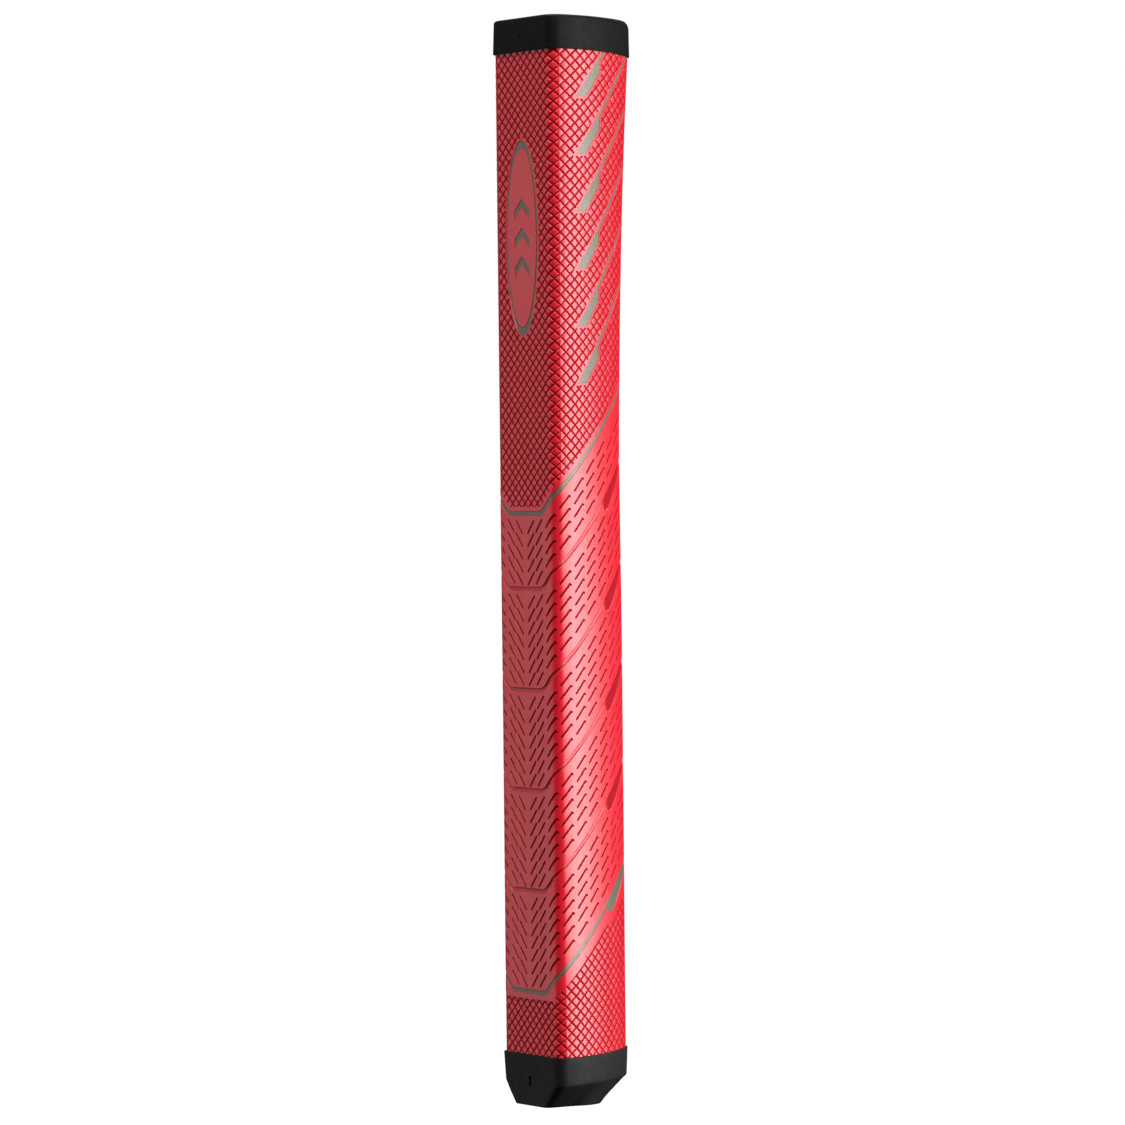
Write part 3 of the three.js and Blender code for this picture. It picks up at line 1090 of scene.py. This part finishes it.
@dataclass(frozen=True)
class Finish:
    """A moulded finish: two close shades, a roughness that wanders and a fine grain.

    With a groove colour and a floor colour it paints shade into the skin's recesses: by the mesh's groove
    attribute it turns matt and dark, the floor colour at first, the groove colour further down.
    """

    name: str
    colour: tuple[float, float, float]
    shade: tuple[float, float, float]
    roughness: float
    roughness_spread: float
    grain_scale: float
    grain_depth: float
    metallic: float = 0.0
    specular: float = 0.5
    sheen: float = 0.0
    # Painted shade colours for recesses: floor where a recess starts, groove further down.
    groove: tuple[float, float, float] | None = None
    floor: tuple[float, float, float] | None = None

    def material(self) -> bpy.types.Material:
        """Build the material.

        Returns:
            The material.
        """
        shader = Shader(self.name)
        broad = shader.ramp(shader.noise(BROAD_SCALE, 4.0), 0.3, 0.7)
        fine = shader.noise(self.grain_scale, 2.0)
        colour = shader.mix(broad, (*self.colour, 1.0), (*self.shade, 1.0))
        wander = shader.ramp(shader.noise(WANDER_SCALE), 0.25, 0.75) - 0.5
        roughness = self.roughness + wander * self.roughness_spread
        normal = shader.bump(fine, self.grain_depth)
        surface = shader.surface(
            Base_Color=colour,
            Roughness=roughness,
            Metallic=self.metallic,
            Specular_IOR_Level=self.specular,
            Sheen_Weight=self.sheen,
            Normal=normal,
        )
        # Painted shade: the base colour darkens and the surface turns matt down the grooves, slits and
        # channels.
        if self.groove:
            down = shader.node("ShaderNodeAttribute", {"attribute_name": PAINTED_SHADE_LAYER}, {}, "Fac")
            deep = shader.mix(shader.ramp(down, 0.35, 0.9), (*self.floor, 1.0), (*self.groove, 1.0))
            matt = shader.surface(
                Base_Color=deep,
                Roughness=MATT_ROUGHNESS,
                Specular_IOR_Level=MATT_SPECULAR,
                Normal=normal,
            )
            share = shader.ramp(down, 0.02, 0.3)
            surface = shader.node("ShaderNodeMixShader", {}, [share, surface, matt])
        return shader.close(surface)


RED_SKIN = Finish(
    "red_skin",
    (0.64, 0.0035, 0.018),
    (0.59, 0.003, 0.015),
    0.37,
    0.08,
    5200.0,
    0.00002,
    specular=0.65,
    # Dark reds painted as shade in the grooves, slits and channels.
    groove=(0.30, 0.0008, 0.006),
    floor=(0.30, 0.0009, 0.008),
)
SILVER = Finish(
    "silver_fill",
    (0.135, 0.117, 0.082),
    (0.11, 0.095, 0.066),
    0.40,
    0.12,
    6000.0,
    0.00002,
    metallic=0.1,
)
BUTT_RUBBER = Finish(
    "butt_rubber",
    (0.0038, 0.0035, 0.0034),
    (0.0052, 0.0048, 0.0046),
    0.55,
    0.12,
    2600.0,
    0.00003,
    specular=0.06,
)
MOUTH_RUBBER = Finish(
    "mouth_rubber",
    (0.0072, 0.0066, 0.0065),
    (0.0092, 0.0085, 0.0083),
    0.60,
    0.12,
    2600.0,
    0.00004,
    specular=0.13,
)
FOAM = Finish("white_foam", (0.72, 0.71, 0.68), (0.62, 0.61, 0.58), 0.9, 0.06, 2200.0, 0.00012)
FELT = Finish("grey_felt", (0.10, 0.105, 0.11), (0.14, 0.145, 0.15), 0.95, 0.04, 3000.0, 0.0002, sheen=0.3)
SEAM = Finish("seam_adhesive", (0.42, 0.004, 0.013), (0.36, 0.003, 0.010), 0.5, 0.1, 3000.0, 0.00003)


def finished_piece(
    mesh: bmesh.types.BMesh,
    name: str,
    finish: bpy.types.Material,
    nodes: Sequence[str],
) -> bpy.types.Object:
    """Turn a mesh into a piece of the grip and hide the CAD nodes that it replaces.

    Args:
        mesh: the piece's mesh, which is used up.
        name: the piece's name.
        finish: its material.
        nodes: the CAD nodes that it replaces.

    Returns:
        The new object.
    """
    for edge in mesh.edges:
        edge.smooth = edge.is_manifold and edge.calc_face_angle(0.0) < SHARP_ANGLE
    for face in mesh.faces:
        face.smooth = True
    open_edges = sum(1 for edge in mesh.edges if not edge.is_manifold)
    data = bpy.data.meshes.new(name)
    mesh.to_mesh(data)
    mesh.free()
    piece = bpy.data.objects.new(name, data)
    bpy.context.scene.collection.objects.link(piece)
    data.materials.append(finish)
    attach(piece, BODY)
    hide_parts(*nodes)
    data.calc_loop_triangles()
    log.info("%s: %d triangles, %d open edges", name, len(data.loop_triangles), open_edges)
    return piece


def plate(
    loop: Loop,
    top: float,
    bottom: float,
    rounding: float,
    hole: Loop | None = None,
) -> bmesh.types.BMesh:
    """Make a thin filled shape that follows the grip's surface.

    Args:
        loop: the outline.
        top: the depth of its outer face.
        bottom: the depth of its underside.
        rounding: how far its edge is eased.
        hole: the outline of a hole in it, if it has one.

    Returns:
        The closed mesh.
    """
    layout = Layout()
    layout.draw(loop, closed=True)
    layout.draw(grown(loop, -rounding), closed=True)
    if hole:
        layout.draw(hole, closed=True)
        layout.draw(grown(hole, rounding), closed=True)
    corners = np.array(loop)
    low, high = corners.min(0), corners.max(0)
    both = girth_bends() + [-along for along in girth_bends()]
    bends = [along for along in both if low[0] < along < high[0]]
    for along in bends:
        layout.draw([(along, low[1]), (along, high[1])])
    for height in spaced(low[1], high[1], PLATE_STEP)[1:-1]:
        layout.draw([(low[0], height), (high[0], height)])

    def inward(points: np.ndarray) -> np.ndarray:
        """Measure how far inside the plate's edges each point lies.

        Args:
            points: one row for each point: its girth distance and its height.

        Returns:
            Distances, negative outside.
        """
        distance = loop_distance(loop, points)
        if hole:
            distance = np.minimum(distance, -loop_distance(hole, points, margin=4.0))
        return distance

    def depth(points: np.ndarray) -> np.ndarray:
        """Return the depth of the plate's outer face."""
        return np.interp(inward(points), [0, rounding], [top + rounding, top])

    return wrapped_solid(layout, lambda points: inward(points) > 0, depth, bottom, bends)


@dataclass
class Skin:
    """The moulded red skin, wrapped round the grip with its edges at the spine."""

    relief: SkinRelief = field(default_factory=SkinRelief)

    def build(self) -> None:
        """Build the skin."""
        relief = self.relief
        # The outer face keeps painted shade for its grooves, slits and channels.
        mesh = wrapped_solid(
            relief.layout(),
            relief.keep,
            relief.depth,
            relief.thickness,
            girth_bends(),
            mirrored=True,
            painted_shade=relief.darkness,
        )
        finished_piece(mesh, "skin", RED_SKIN.material(), ["outer_skin"])


@dataclass
class SilverFills:
    """The silver paint that fills the recesses of the skin."""

    top: float = 0.12
    bottom: float = 0.40
    rounding: float = 0.05
    relief: SkinRelief = field(default_factory=SkinRelief)

    def build(self) -> None:
        """Build every fill."""
        silver = SILVER.material()
        depths = (self.top, self.bottom, self.rounding)
        for slash in self.relief.slashes:
            for side in Side:
                node = f"slash_{side.name.lower()}_{slash.index + 1}"
                mesh = plate(slash.loop(side), *depths)
                finished_piece(mesh, f"fill_{node}", silver, [node])
        for node in ("upper_accent", "lower_accent"):
            line = getattr(self.relief, node)
            mesh = plate(line.whole_loop(), *depths)
            finished_piece(mesh, f"fill_{node}", silver, [node])
        emblem = self.relief.emblem
        ring = plate(emblem.outer(), *depths, hole=emblem.inner())
        finished_piece(ring, "fill_emblem_ring", silver, ["emblem_ring"])
        for index, place in enumerate(("lower", "middle", "upper")):
            node = f"emblem_chevron_{place}"
            mesh = plate(emblem.chevron(index), *depths)
            finished_piece(mesh, f"fill_{node}", silver, [node])


Ring = Callable[[np.ndarray], np.ndarray]


def lofted(stations: np.ndarray, rings: Sequence[Ring]) -> bmesh.types.BMesh:
    """Draw a tube through rings that share their stations, the last meeting the first.

    Args:
        stations: the girth distance of each vertex of a ring.
        rings: each gives one row of x, y and z in metres for each station.

    Returns:
        The closed mesh.
    """
    mesh = bmesh.new()
    made = bmesh.ops.create_circle(mesh, cap_ends=False, segments=len(stations), radius=1.0)
    ring = list(made["verts"])
    for vert, place in zip(ring, rings[0](stations)):
        vert.co = place
    edges = mesh.edges[:]
    for shape in [*rings[1:], rings[0]]:
        order = {vert.co.copy().freeze(): index for index, vert in enumerate(ring)}
        extruded = bmesh.ops.extrude_edge_only(mesh, edges=edges)["geom"]
        verts = [item for item in extruded if isinstance(item, bmesh.types.BMVert)]
        ring = sorted(verts, key=lambda vert: order[vert.co.copy().freeze()])
        fresh = set(ring)
        edges = [
            item
            for item in extruded
            if isinstance(item, bmesh.types.BMEdge) and fresh.issuperset(item.verts)
        ]
        for vert, place in zip(ring, shape(stations)):
            vert.co = place
    bmesh.ops.remove_doubles(mesh, verts=mesh.verts[:], dist=RING_MERGE)
    bmesh.ops.recalc_face_normals(mesh, faces=mesh.faces[:])
    return mesh


def whole_girth(scale: float = 1.0) -> np.ndarray:
    """Return girth distances all the way round, close together where it bends."""
    face = spaced(0.0, SECTION.flat_half, 2.0 * scale)[:-1]
    half = [*face, *girth_bends(scale), SECTION.half_girth]
    return np.array([-along for along in reversed(half[1:-1])] + half)


def round_ring(radius: float, height: float) -> Ring:
    """Make a round ring about the shaft's axis.

    Args:
        radius: the ring's radius.
        height: its height.

    Returns:
        The ring.
    """

    def ring(stations: np.ndarray) -> np.ndarray:
        """Put each station on the circle, in its own direction from the axis.

        Args:
            stations: the girth distance of each vertex.

        Returns:
            One row of x, y and z in metres for each station.
        """
        flat = SECTION.place(stations, np.zeros(len(stations)), np.zeros(len(stations)))
        turn = np.arctan2(flat[:, 1], flat[:, 0])
        level = np.full(len(stations), height)
        return np.stack([radius * np.cos(turn), radius * np.sin(turn), level], 1) * MM

    return ring


def spine_share(stations: np.ndarray) -> np.ndarray:
    """Return how far back each station lies, 0 at the thumb face and 1 at the spine."""
    depth = SECTION.outline(stations)[1]
    return depth / float(SECTION.outline(np.array([SECTION.half_girth]))[1][0])


def skin_ring(height: float, below: float, sweep: float = 0.0) -> Ring:
    """Make a ring that follows the grip's section.

    Args:
        height: its height at the thumb face.
        below: its depth.
        sweep: how much higher it lies at the spine.

    Returns:
        The ring.
    """

    def ring(stations: np.ndarray) -> np.ndarray:
        """Place the ring.

        Args:
            stations: the girth distance of each vertex.

        Returns:
            One row of x, y and z in metres for each station.
        """
        swept = height + sweep * spine_share(stations) ** 3
        return SECTION.place(stations, swept, np.full(len(stations), below))

    return ring


def cut_out(mesh: bmesh.types.BMesh, cutters: Sequence[bmesh.types.BMesh]) -> bmesh.types.BMesh:
    """Cut shapes out of a mesh.

    Args:
        mesh: the mesh to cut, which is used up.
        cutters: closed meshes, which are used up too.

    Returns:
        The cut mesh.
    """
    scene = bpy.context.scene.collection.objects
    made = []
    for shape in (mesh, *cutters):
        data = bpy.data.meshes.new("blank")
        shape.to_mesh(data)
        shape.free()
        blank = bpy.data.objects.new("blank", data)
        scene.link(blank)
        made.append(blank)
    for blank in made[1:]:
        modifier = made[0].modifiers.new("cut", "BOOLEAN")
        modifier.operation = "DIFFERENCE"
        modifier.solver = "EXACT"
        modifier.object = blank
    graph = bpy.context.evaluated_depsgraph_get()
    result = bmesh.new()
    result.from_object(made[0], graph)
    for blank in made:
        data = blank.data
        bpy.data.objects.remove(blank)
        bpy.data.meshes.remove(data)
    return result


@dataclass
class ButtCap:
    """The rubber cap at the butt end, with its plug, vent and moulding dimple."""

    lip: float = 258.6
    top: float = 267.0
    proud: float = 0.44
    edge_front: float = 0.8
    edge_spine: float = 2.6
    draft_front: float = 0.2
    draft_spine: float = 0.35
    lip_round: float = 0.12
    sweep: float = -0.8
    vent: float = 1.3
    plug: float = 7.05
    plug_length: float = 6.0
    dimple: float = 0.35
    dimple_height: float = 262.4

    def edge(self, spine: np.ndarray) -> np.ndarray:
        """Return the rounding of the top edge, by how far back it lies."""
        return self.edge_front + (self.edge_spine - self.edge_front) * spine**2

    def draft(self, spine: np.ndarray) -> np.ndarray:
        """Return how far the side wall leans in at its top, by how far back it lies."""
        return self.draft_front + self.draft_spine * spine

    def side_ring(self, share: float) -> Ring:
        """Make a ring of the side wall.

        Args:
            share: its share of the way up.

        Returns:
            The ring.
        """

        def ring(stations: np.ndarray) -> np.ndarray:
            """Place the ring.

            Args:
                stations: the girth distance of each vertex.

            Returns:
                One row of x, y and z in metres for each station.
            """
            spine = spine_share(stations)
            edge, draft = self.edge(spine), self.draft(spine)
            low = self.lip + self.lip_round + self.sweep * spine**3
            height = low + (self.top - edge - low) * share
            return SECTION.place(stations, height, -self.proud + draft * share)

        return ring

    def edge_ring(self, turn: float) -> Ring:
        """Make a ring of the rounded top edge.

        Args:
            turn: how far round the edge it lies, in degrees.

        Returns:
            The ring.
        """

        def ring(stations: np.ndarray) -> np.ndarray:
            """Place the ring.

            Args:
                stations: the girth distance of each vertex.

            Returns:
                One row of x, y and z in metres for each station.
            """
            spine = spine_share(stations)
            edge, draft = self.edge(spine), self.draft(spine)
            inward = edge * (1 - math.cos(math.radians(turn)))
            height = self.top - edge * (1 - math.sin(math.radians(turn)))
            return SECTION.place(stations, height, -self.proud + draft + inward)

        return ring

    def top_ring(self, share: float) -> Ring:
        """Return a ring of the flat top, by its share of the way to the vent."""
        rim = self.edge_ring(90.0)
        hole = round_ring(self.vent + 0.15, self.top)
        return lambda stations: rim(stations) * (1 - share) + hole(stations) * share

    def build(self) -> None:
        """Build the cap."""
        floor = self.lip - self.plug_length
        rings: list[Ring] = [
            skin_ring(self.lip, LIP_INSIDE, self.sweep),
            skin_ring(self.lip, -self.proud + LIP_EDGE, self.sweep),
            skin_ring(self.lip + LIP_EASE, -self.proud + LIP_EASE, self.sweep),
            *[self.side_ring(share) for share in (0.0, 0.25, 0.5, 0.75, 1.0)],
            *[self.edge_ring(turn) for turn in (15, 30, 45, 60, 75, 90)],
            *[self.top_ring(share) for share in (0.04, 0.5, 1.0)],
            round_ring(self.vent, self.top - 0.15),
            round_ring(self.vent, floor),
            round_ring(self.plug - 0.5, floor),
            round_ring(self.plug, floor + 0.5),
            round_ring(self.plug, self.lip),
            skin_ring(self.lip, LIP_INSIDE),
        ]
        mesh = lofted(whole_girth(), rings)
        dimple = bmesh.new()
        face = SECTION.front_y - self.proud + self.draft_front
        place = Matrix.Translation((0, face * MM, self.dimple_height * MM))
        size = self.dimple * MM
        bmesh.ops.create_uvsphere(dimple, u_segments=20, v_segments=12, radius=size, matrix=place)
        mesh = cut_out(mesh, [dimple])
        finished_piece(mesh, "cap_butt", BUTT_RUBBER.material(), ["butt_cap"])


@dataclass
class MouthCap:
    """The rubber cap at the mouth end, narrowing round the shaft's opening."""

    lip: float = 12.6
    proud: float = 0.44
    draft: float = 0.3
    lip_round: float = 0.12
    sweep: float = 0.7
    start_side: float = 5.2
    start_spine: float = 6.0
    taper_width: float = 0.60
    taper_depth: float = 0.72
    rim_radius: float = 8.0
    bore: float = 7.35
    mark_width: float = 1.1
    mark_low: float = 4.7
    mark_high: float = 7.4
    mark_deep: float = 0.9
    mark_round: float = 0.2
    half_way: float = 0.52
    rim_back: float = 0.25
    rim_rounding: tuple[Place, ...] = ((0.85, 0.92), (0.93, 0.50), (0.99, 0.23), (1.03, 0.07), (1.07, 0.0))

    def narrowed(self, share: float, height: Callable[[np.ndarray], np.ndarray]) -> Ring:
        """Make a ring of the narrowing part.

        Args:
            share: its share of the whole taper.
            height: gives its height at each station.

        Returns:
            The ring.
        """

        def ring(stations: np.ndarray) -> np.ndarray:
            """Place the ring.

            Args:
                stations: the girth distance of each vertex.

            Returns:
                One row of x, y and z in metres for each station.
            """
            level = np.zeros(len(stations))
            full = SECTION.place(stations, level, level - self.proud + self.draft) / MM
            front = SECTION.front_y - self.proud + self.draft
            x = full[:, 0] * self.taper_width
            y = front + (full[:, 1] - front) * self.taper_depth
            stretch = np.maximum(1, self.rim_radius / np.hypot(x, y))
            x = full[:, 0] + (x * stretch - full[:, 0]) * share
            y = full[:, 1] + (y * stretch - full[:, 1]) * share
            return np.stack([x, y, height(stations)], 1) * MM

        return ring

    def start(self, offset: float) -> Callable[[np.ndarray], np.ndarray]:
        """Return the height of the taper's start, moved by an offset."""
        rise = self.start_spine - self.start_side
        return lambda stations: self.start_side + rise * spine_share(stations) + offset

    def rim(self, height: float) -> Callable[[np.ndarray], np.ndarray]:
        """Return a height of the rim's rounding, fuller towards the spine."""
        return lambda stations: height * (1 + self.rim_back * spine_share(stations))

    def side_ring(self, share: float) -> Ring:
        """Make a ring of the side wall.

        Args:
            share: its share of the way up.

        Returns:
            The ring.
        """

        def ring(stations: np.ndarray) -> np.ndarray:
            """Place the ring.

            Args:
                stations: the girth distance of each vertex.

            Returns:
                One row of x, y and z in metres for each station.
            """
            low = self.start(0.6)(stations)
            high = self.lip - self.lip_round + self.sweep * spine_share(stations) ** 3
            height = low + (high - low) * share
            return SECTION.place(stations, height, -self.proud + self.draft * (1 - share))

        return ring

    def build(self) -> None:
        """Build the cap."""
        rings: list[Ring] = [
            skin_ring(self.lip, LIP_INSIDE, self.sweep),
            skin_ring(self.lip, -self.proud + LIP_EDGE, self.sweep),
            skin_ring(self.lip - LIP_EASE, -self.proud + LIP_EASE, self.sweep),
            *[self.side_ring(share) for share in (1.0, 0.75, 0.5, 0.25, 0.0)],
            self.narrowed(0.035, self.start(0.15)),
            self.narrowed(0.12, self.start(-0.3)),
            self.narrowed(0.5, lambda stations: self.start(0.0)(stations) * self.half_way),
            *[self.narrowed(share, self.rim(height)) for share, height in self.rim_rounding],
            round_ring(self.bore + 0.5, 0.0),
            round_ring(self.bore + 0.15, 0.15),
            round_ring(self.bore, 0.5),
            round_ring(self.bore, self.lip),
            skin_ring(self.lip, LIP_INSIDE),
        ]
        mesh = lofted(whole_girth(), rings)
        mesh = cut_out(mesh, [self.mark()])
        finished_piece(mesh, "cap_mouth", MOUTH_RUBBER.material(), ["mouth_cap"])

    def mark(self) -> bmesh.types.BMesh:
        """Make the block that cuts the upright mark into the thumb face.

        Returns:
            The block.
        """
        mesh = bmesh.new()
        tall = self.mark_high - self.mark_low
        face = SECTION.front_y - self.proud + self.draft
        centre = Matrix.Translation((0, face * MM, (self.mark_low + tall / 2) * MM))
        size = Matrix.Diagonal((self.mark_width * MM, self.mark_deep * MM, tall * MM, 1))
        bmesh.ops.create_cube(mesh, size=1.0, matrix=centre @ size)
        through = [e for e in mesh.edges if abs((e.verts[0].co - e.verts[1].co).y) > self.mark_deep * MM / 2]
        bmesh.ops.bevel(
            mesh,
            geom=through,
            offset=self.mark_round * MM,
            segments=4,
            profile=0.5,
            affect="EDGES",
            material=-1,
        )
        return mesh


@dataclass
class Core:
    """What lies under the skin: the foam with the shaft's bore, the felt and the seam."""

    low: float = 12.64
    high: float = 258.56
    bore: float = 7.35
    foam_top: float = 2.0
    felt_top: float = 1.2
    felt_bottom: float = 1.95
    seam_half: float = 0.31
    seam_top: float = 0.06
    seam_bottom: float = 1.15
    seam_step: float = 4.0
    felt_gap: float = 0.4

    def build(self) -> None:
        """Build the foam, the felt and the seam."""
        heights = spaced(self.low, self.high, UNDERSIDE_STEP)
        outside = [skin_ring(height, self.foam_top) for height in heights]
        inside = [round_ring(self.bore, height) for height in reversed(heights)]
        foam = lofted(whole_girth(2.0), outside + inside)
        finished_piece(foam, "foam", FOAM.material(), ["foam_core"])
        self.build_felt(heights)
        self.build_seam()

    def build_felt(self, heights: Sequence[float]) -> None:
        """Build the felt, open along the spine like the skin.

        Args:
            heights: where it bends along the grip.
        """
        edge = SECTION.half_girth - self.felt_gap
        layout = Layout()
        for along in [0.0, *girth_bends(2.0), edge]:
            if along <= edge:
                layout.draw([(along, self.low), (along, self.high)])
        for height in heights:
            layout.draw([(0.0, height), (edge, height)])

        def keep(points: np.ndarray) -> np.ndarray:
            """Tell which triangle middles lie on this half."""
            return (points[:, 0] > 0) & (points[:, 0] < edge)

        def top(points: np.ndarray) -> np.ndarray:
            """Return an even depth."""
            return np.full(len(points), self.felt_top)

        mesh = wrapped_solid(layout, keep, top, self.felt_bottom, girth_bends(2.0), mirrored=True)
        finished_piece(mesh, "felt", FELT.material(), ["felt_backing"])

    def build_seam(self) -> None:
        """Build the adhesive bead that fills the rear seam."""
        middle = SECTION.half_girth
        left, right = middle - self.seam_half, middle + self.seam_half
        layout = Layout()
        layout.draw([(left, self.low), (right, self.low), (right, self.high), (left, self.high)], closed=True)
        layout.draw([(middle, self.low), (middle, self.high)])
        for step in (self.seam_step, UNDERSIDE_STEP):
            for height in spaced(self.low, self.high, step)[1:-1]:
                layout.draw([(left, height), (right, height)])

        def top(points: np.ndarray) -> np.ndarray:
            """Return the depth of a bead that stands a little proud in its middle."""
            share = np.abs(points[:, 0] - middle) / self.seam_half
            return self.seam_top + 0.05 * share**2 + 0.03 * np.sin(points[:, 1] * 0.9)

        def keep(points: np.ndarray) -> np.ndarray:
            """Tell which triangle middles lie on the bead."""
            return np.abs(points[:, 0] - middle) < self.seam_half

        mesh = wrapped_solid(layout, keep, top, self.seam_bottom, [middle])
        finished_piece(mesh, "seam", SEAM.material(), ["seam_filler"])


@dataclass(frozen=True)
class Panel:
    """A soft rectangular light: its heading round the grip from the thumb face, and its size."""

    name: str
    heading: float
    height: float
    reach: float
    size: Place
    power: float

    def build(self, aim: float) -> None:
        """Add the light, facing the grip's axis.

        Args:
            aim: the height it faces, in metres.
        """
        turn = math.radians(self.heading)
        data = bpy.data.lights.new(self.name, "AREA")
        data.shape = "RECTANGLE"
        data.size, data.size_y = self.size
        data.energy = self.power
        light = bpy.data.objects.new(self.name, data)
        position = Vector((math.sin(turn) * self.reach, -math.cos(turn) * self.reach, self.height))
        away = position - Vector((0, 0, aim))
        light.matrix_world = Matrix.Translation(position) @ away.to_track_quat("Z", "Y").to_matrix().to_4x4()
        bpy.context.scene.collection.objects.link(light)


@dataclass
class Studio:
    """The pale floor, the soft lights and the camera."""

    azimuth: float = 58.45
    distance: float = 1440.0
    height: float = 154.15
    aim_height: float = 133.25
    aim_side: float = -1.11
    roll: float = -0.58
    lens: float = 187.03
    axis_depth: float = 1.0
    floor_height: float = -0.45
    floor_half: float = 12.0
    light_aim: float = 0.13
    world_light: float = 0.03
    panels: tuple[Panel, ...] = (
        Panel("key", 143.0, 0.16, 1.2, (0.76, 1.3), 30.0),
        Panel("side", -34.0, 0.16, 1.4, (1.9, 1.3), 7.0),
        Panel("top", 62.0, 1.5, 0.9, (1.4, 0.9), 38.0),
        Panel("rear", -122.0, 1.7, 0.8, (1.2, 0.8), 46.0),
    )

    def build(self) -> None:
        """Build the studio."""
        self.add_camera()
        self.add_floor()
        for panel in self.panels:
            panel.build(self.light_aim)
        self.set_world()

    def across(self) -> Vector:
        """Return the direction to the right of the view."""
        turn = math.radians(self.azimuth)
        return Vector((math.cos(turn), math.sin(turn), 0))

    def add_camera(self) -> None:
        """Add the camera."""
        turn = math.radians(self.azimuth)
        towards = Vector((math.sin(turn), -math.cos(turn), 0))
        axis = Vector((0, self.axis_depth, 0))
        position = axis + towards * self.distance + Vector((0, 0, self.height))
        aim = axis + self.across() * self.aim_side + Vector((0, 0, self.aim_height))
        back = (position - aim).normalized()
        lean = math.radians(self.roll)
        right = self.across() * math.cos(lean) + Vector((0, 0, 1)) * math.sin(lean)
        up = back.cross(right).normalized()
        right = up.cross(back).normalized()
        data = bpy.data.cameras.new("camera")
        data.lens = self.lens
        data.sensor_width = 36.0
        data.clip_start = 0.05
        data.clip_end = 60.0
        camera = bpy.data.objects.new("camera", data)
        turned = Matrix((right, up, back)).transposed().to_4x4()
        camera.matrix_world = Matrix.Translation(position * MM) @ turned
        bpy.context.scene.collection.objects.link(camera)
        bpy.context.scene.camera = camera

    def add_floor(self) -> None:
        """Add a pale floor that lies well under the grip."""
        mesh = bmesh.new()
        place = Matrix.Translation((0, 0, self.floor_height))
        bmesh.ops.create_grid(mesh, x_segments=1, y_segments=1, size=self.floor_half, matrix=place)
        data = bpy.data.meshes.new("floor")
        mesh.to_mesh(data)
        mesh.free()
        floor = bpy.data.objects.new("floor", data)
        floor.visible_diffuse = False
        floor.visible_glossy = False
        shader = Shader("pale_floor")
        white = (1.0, 1.0, 1.0, 1.0)
        glow = shader.surface(Base_Color=white, Roughness=1.0, Emission_Color=white, Emission_Strength=1.0)
        data.materials.append(shader.close(glow))
        bpy.context.scene.collection.objects.link(floor)

    def set_world(self) -> None:
        """Surround the grip with white that hardly lights it."""
        world = bpy.data.worlds.new("studio")
        bpy.context.scene.world = world
        world.use_nodes = True
        tree = world.node_tree
        background = tree.nodes["Background"]
        background.inputs["Color"].default_value = (1.0, 1.0, 1.0, 1.0)
        path = tree.nodes.new("ShaderNodeLightPath")
        level = tree.nodes.new("ShaderNodeMapRange")
        level.inputs["To Min"].default_value = self.world_light
        level.inputs["To Max"].default_value = 1.0
        tree.links.new(path.outputs["Is Camera Ray"], level.inputs["Value"])
        tree.links.new(level.outputs[0], background.inputs["Strength"])
        bpy.context.scene.view_settings.view_transform = "Standard"


def main() -> None:
    """Build the grip and its studio."""
    logging.basicConfig(level=logging.INFO, format="%(name)s %(message)s")
    Studio().build()
    for part in (Skin(), SilverFills(), ButtCap(), MouthCap(), Core()):
        part.build()


if __name__ == "__main__":
    main()
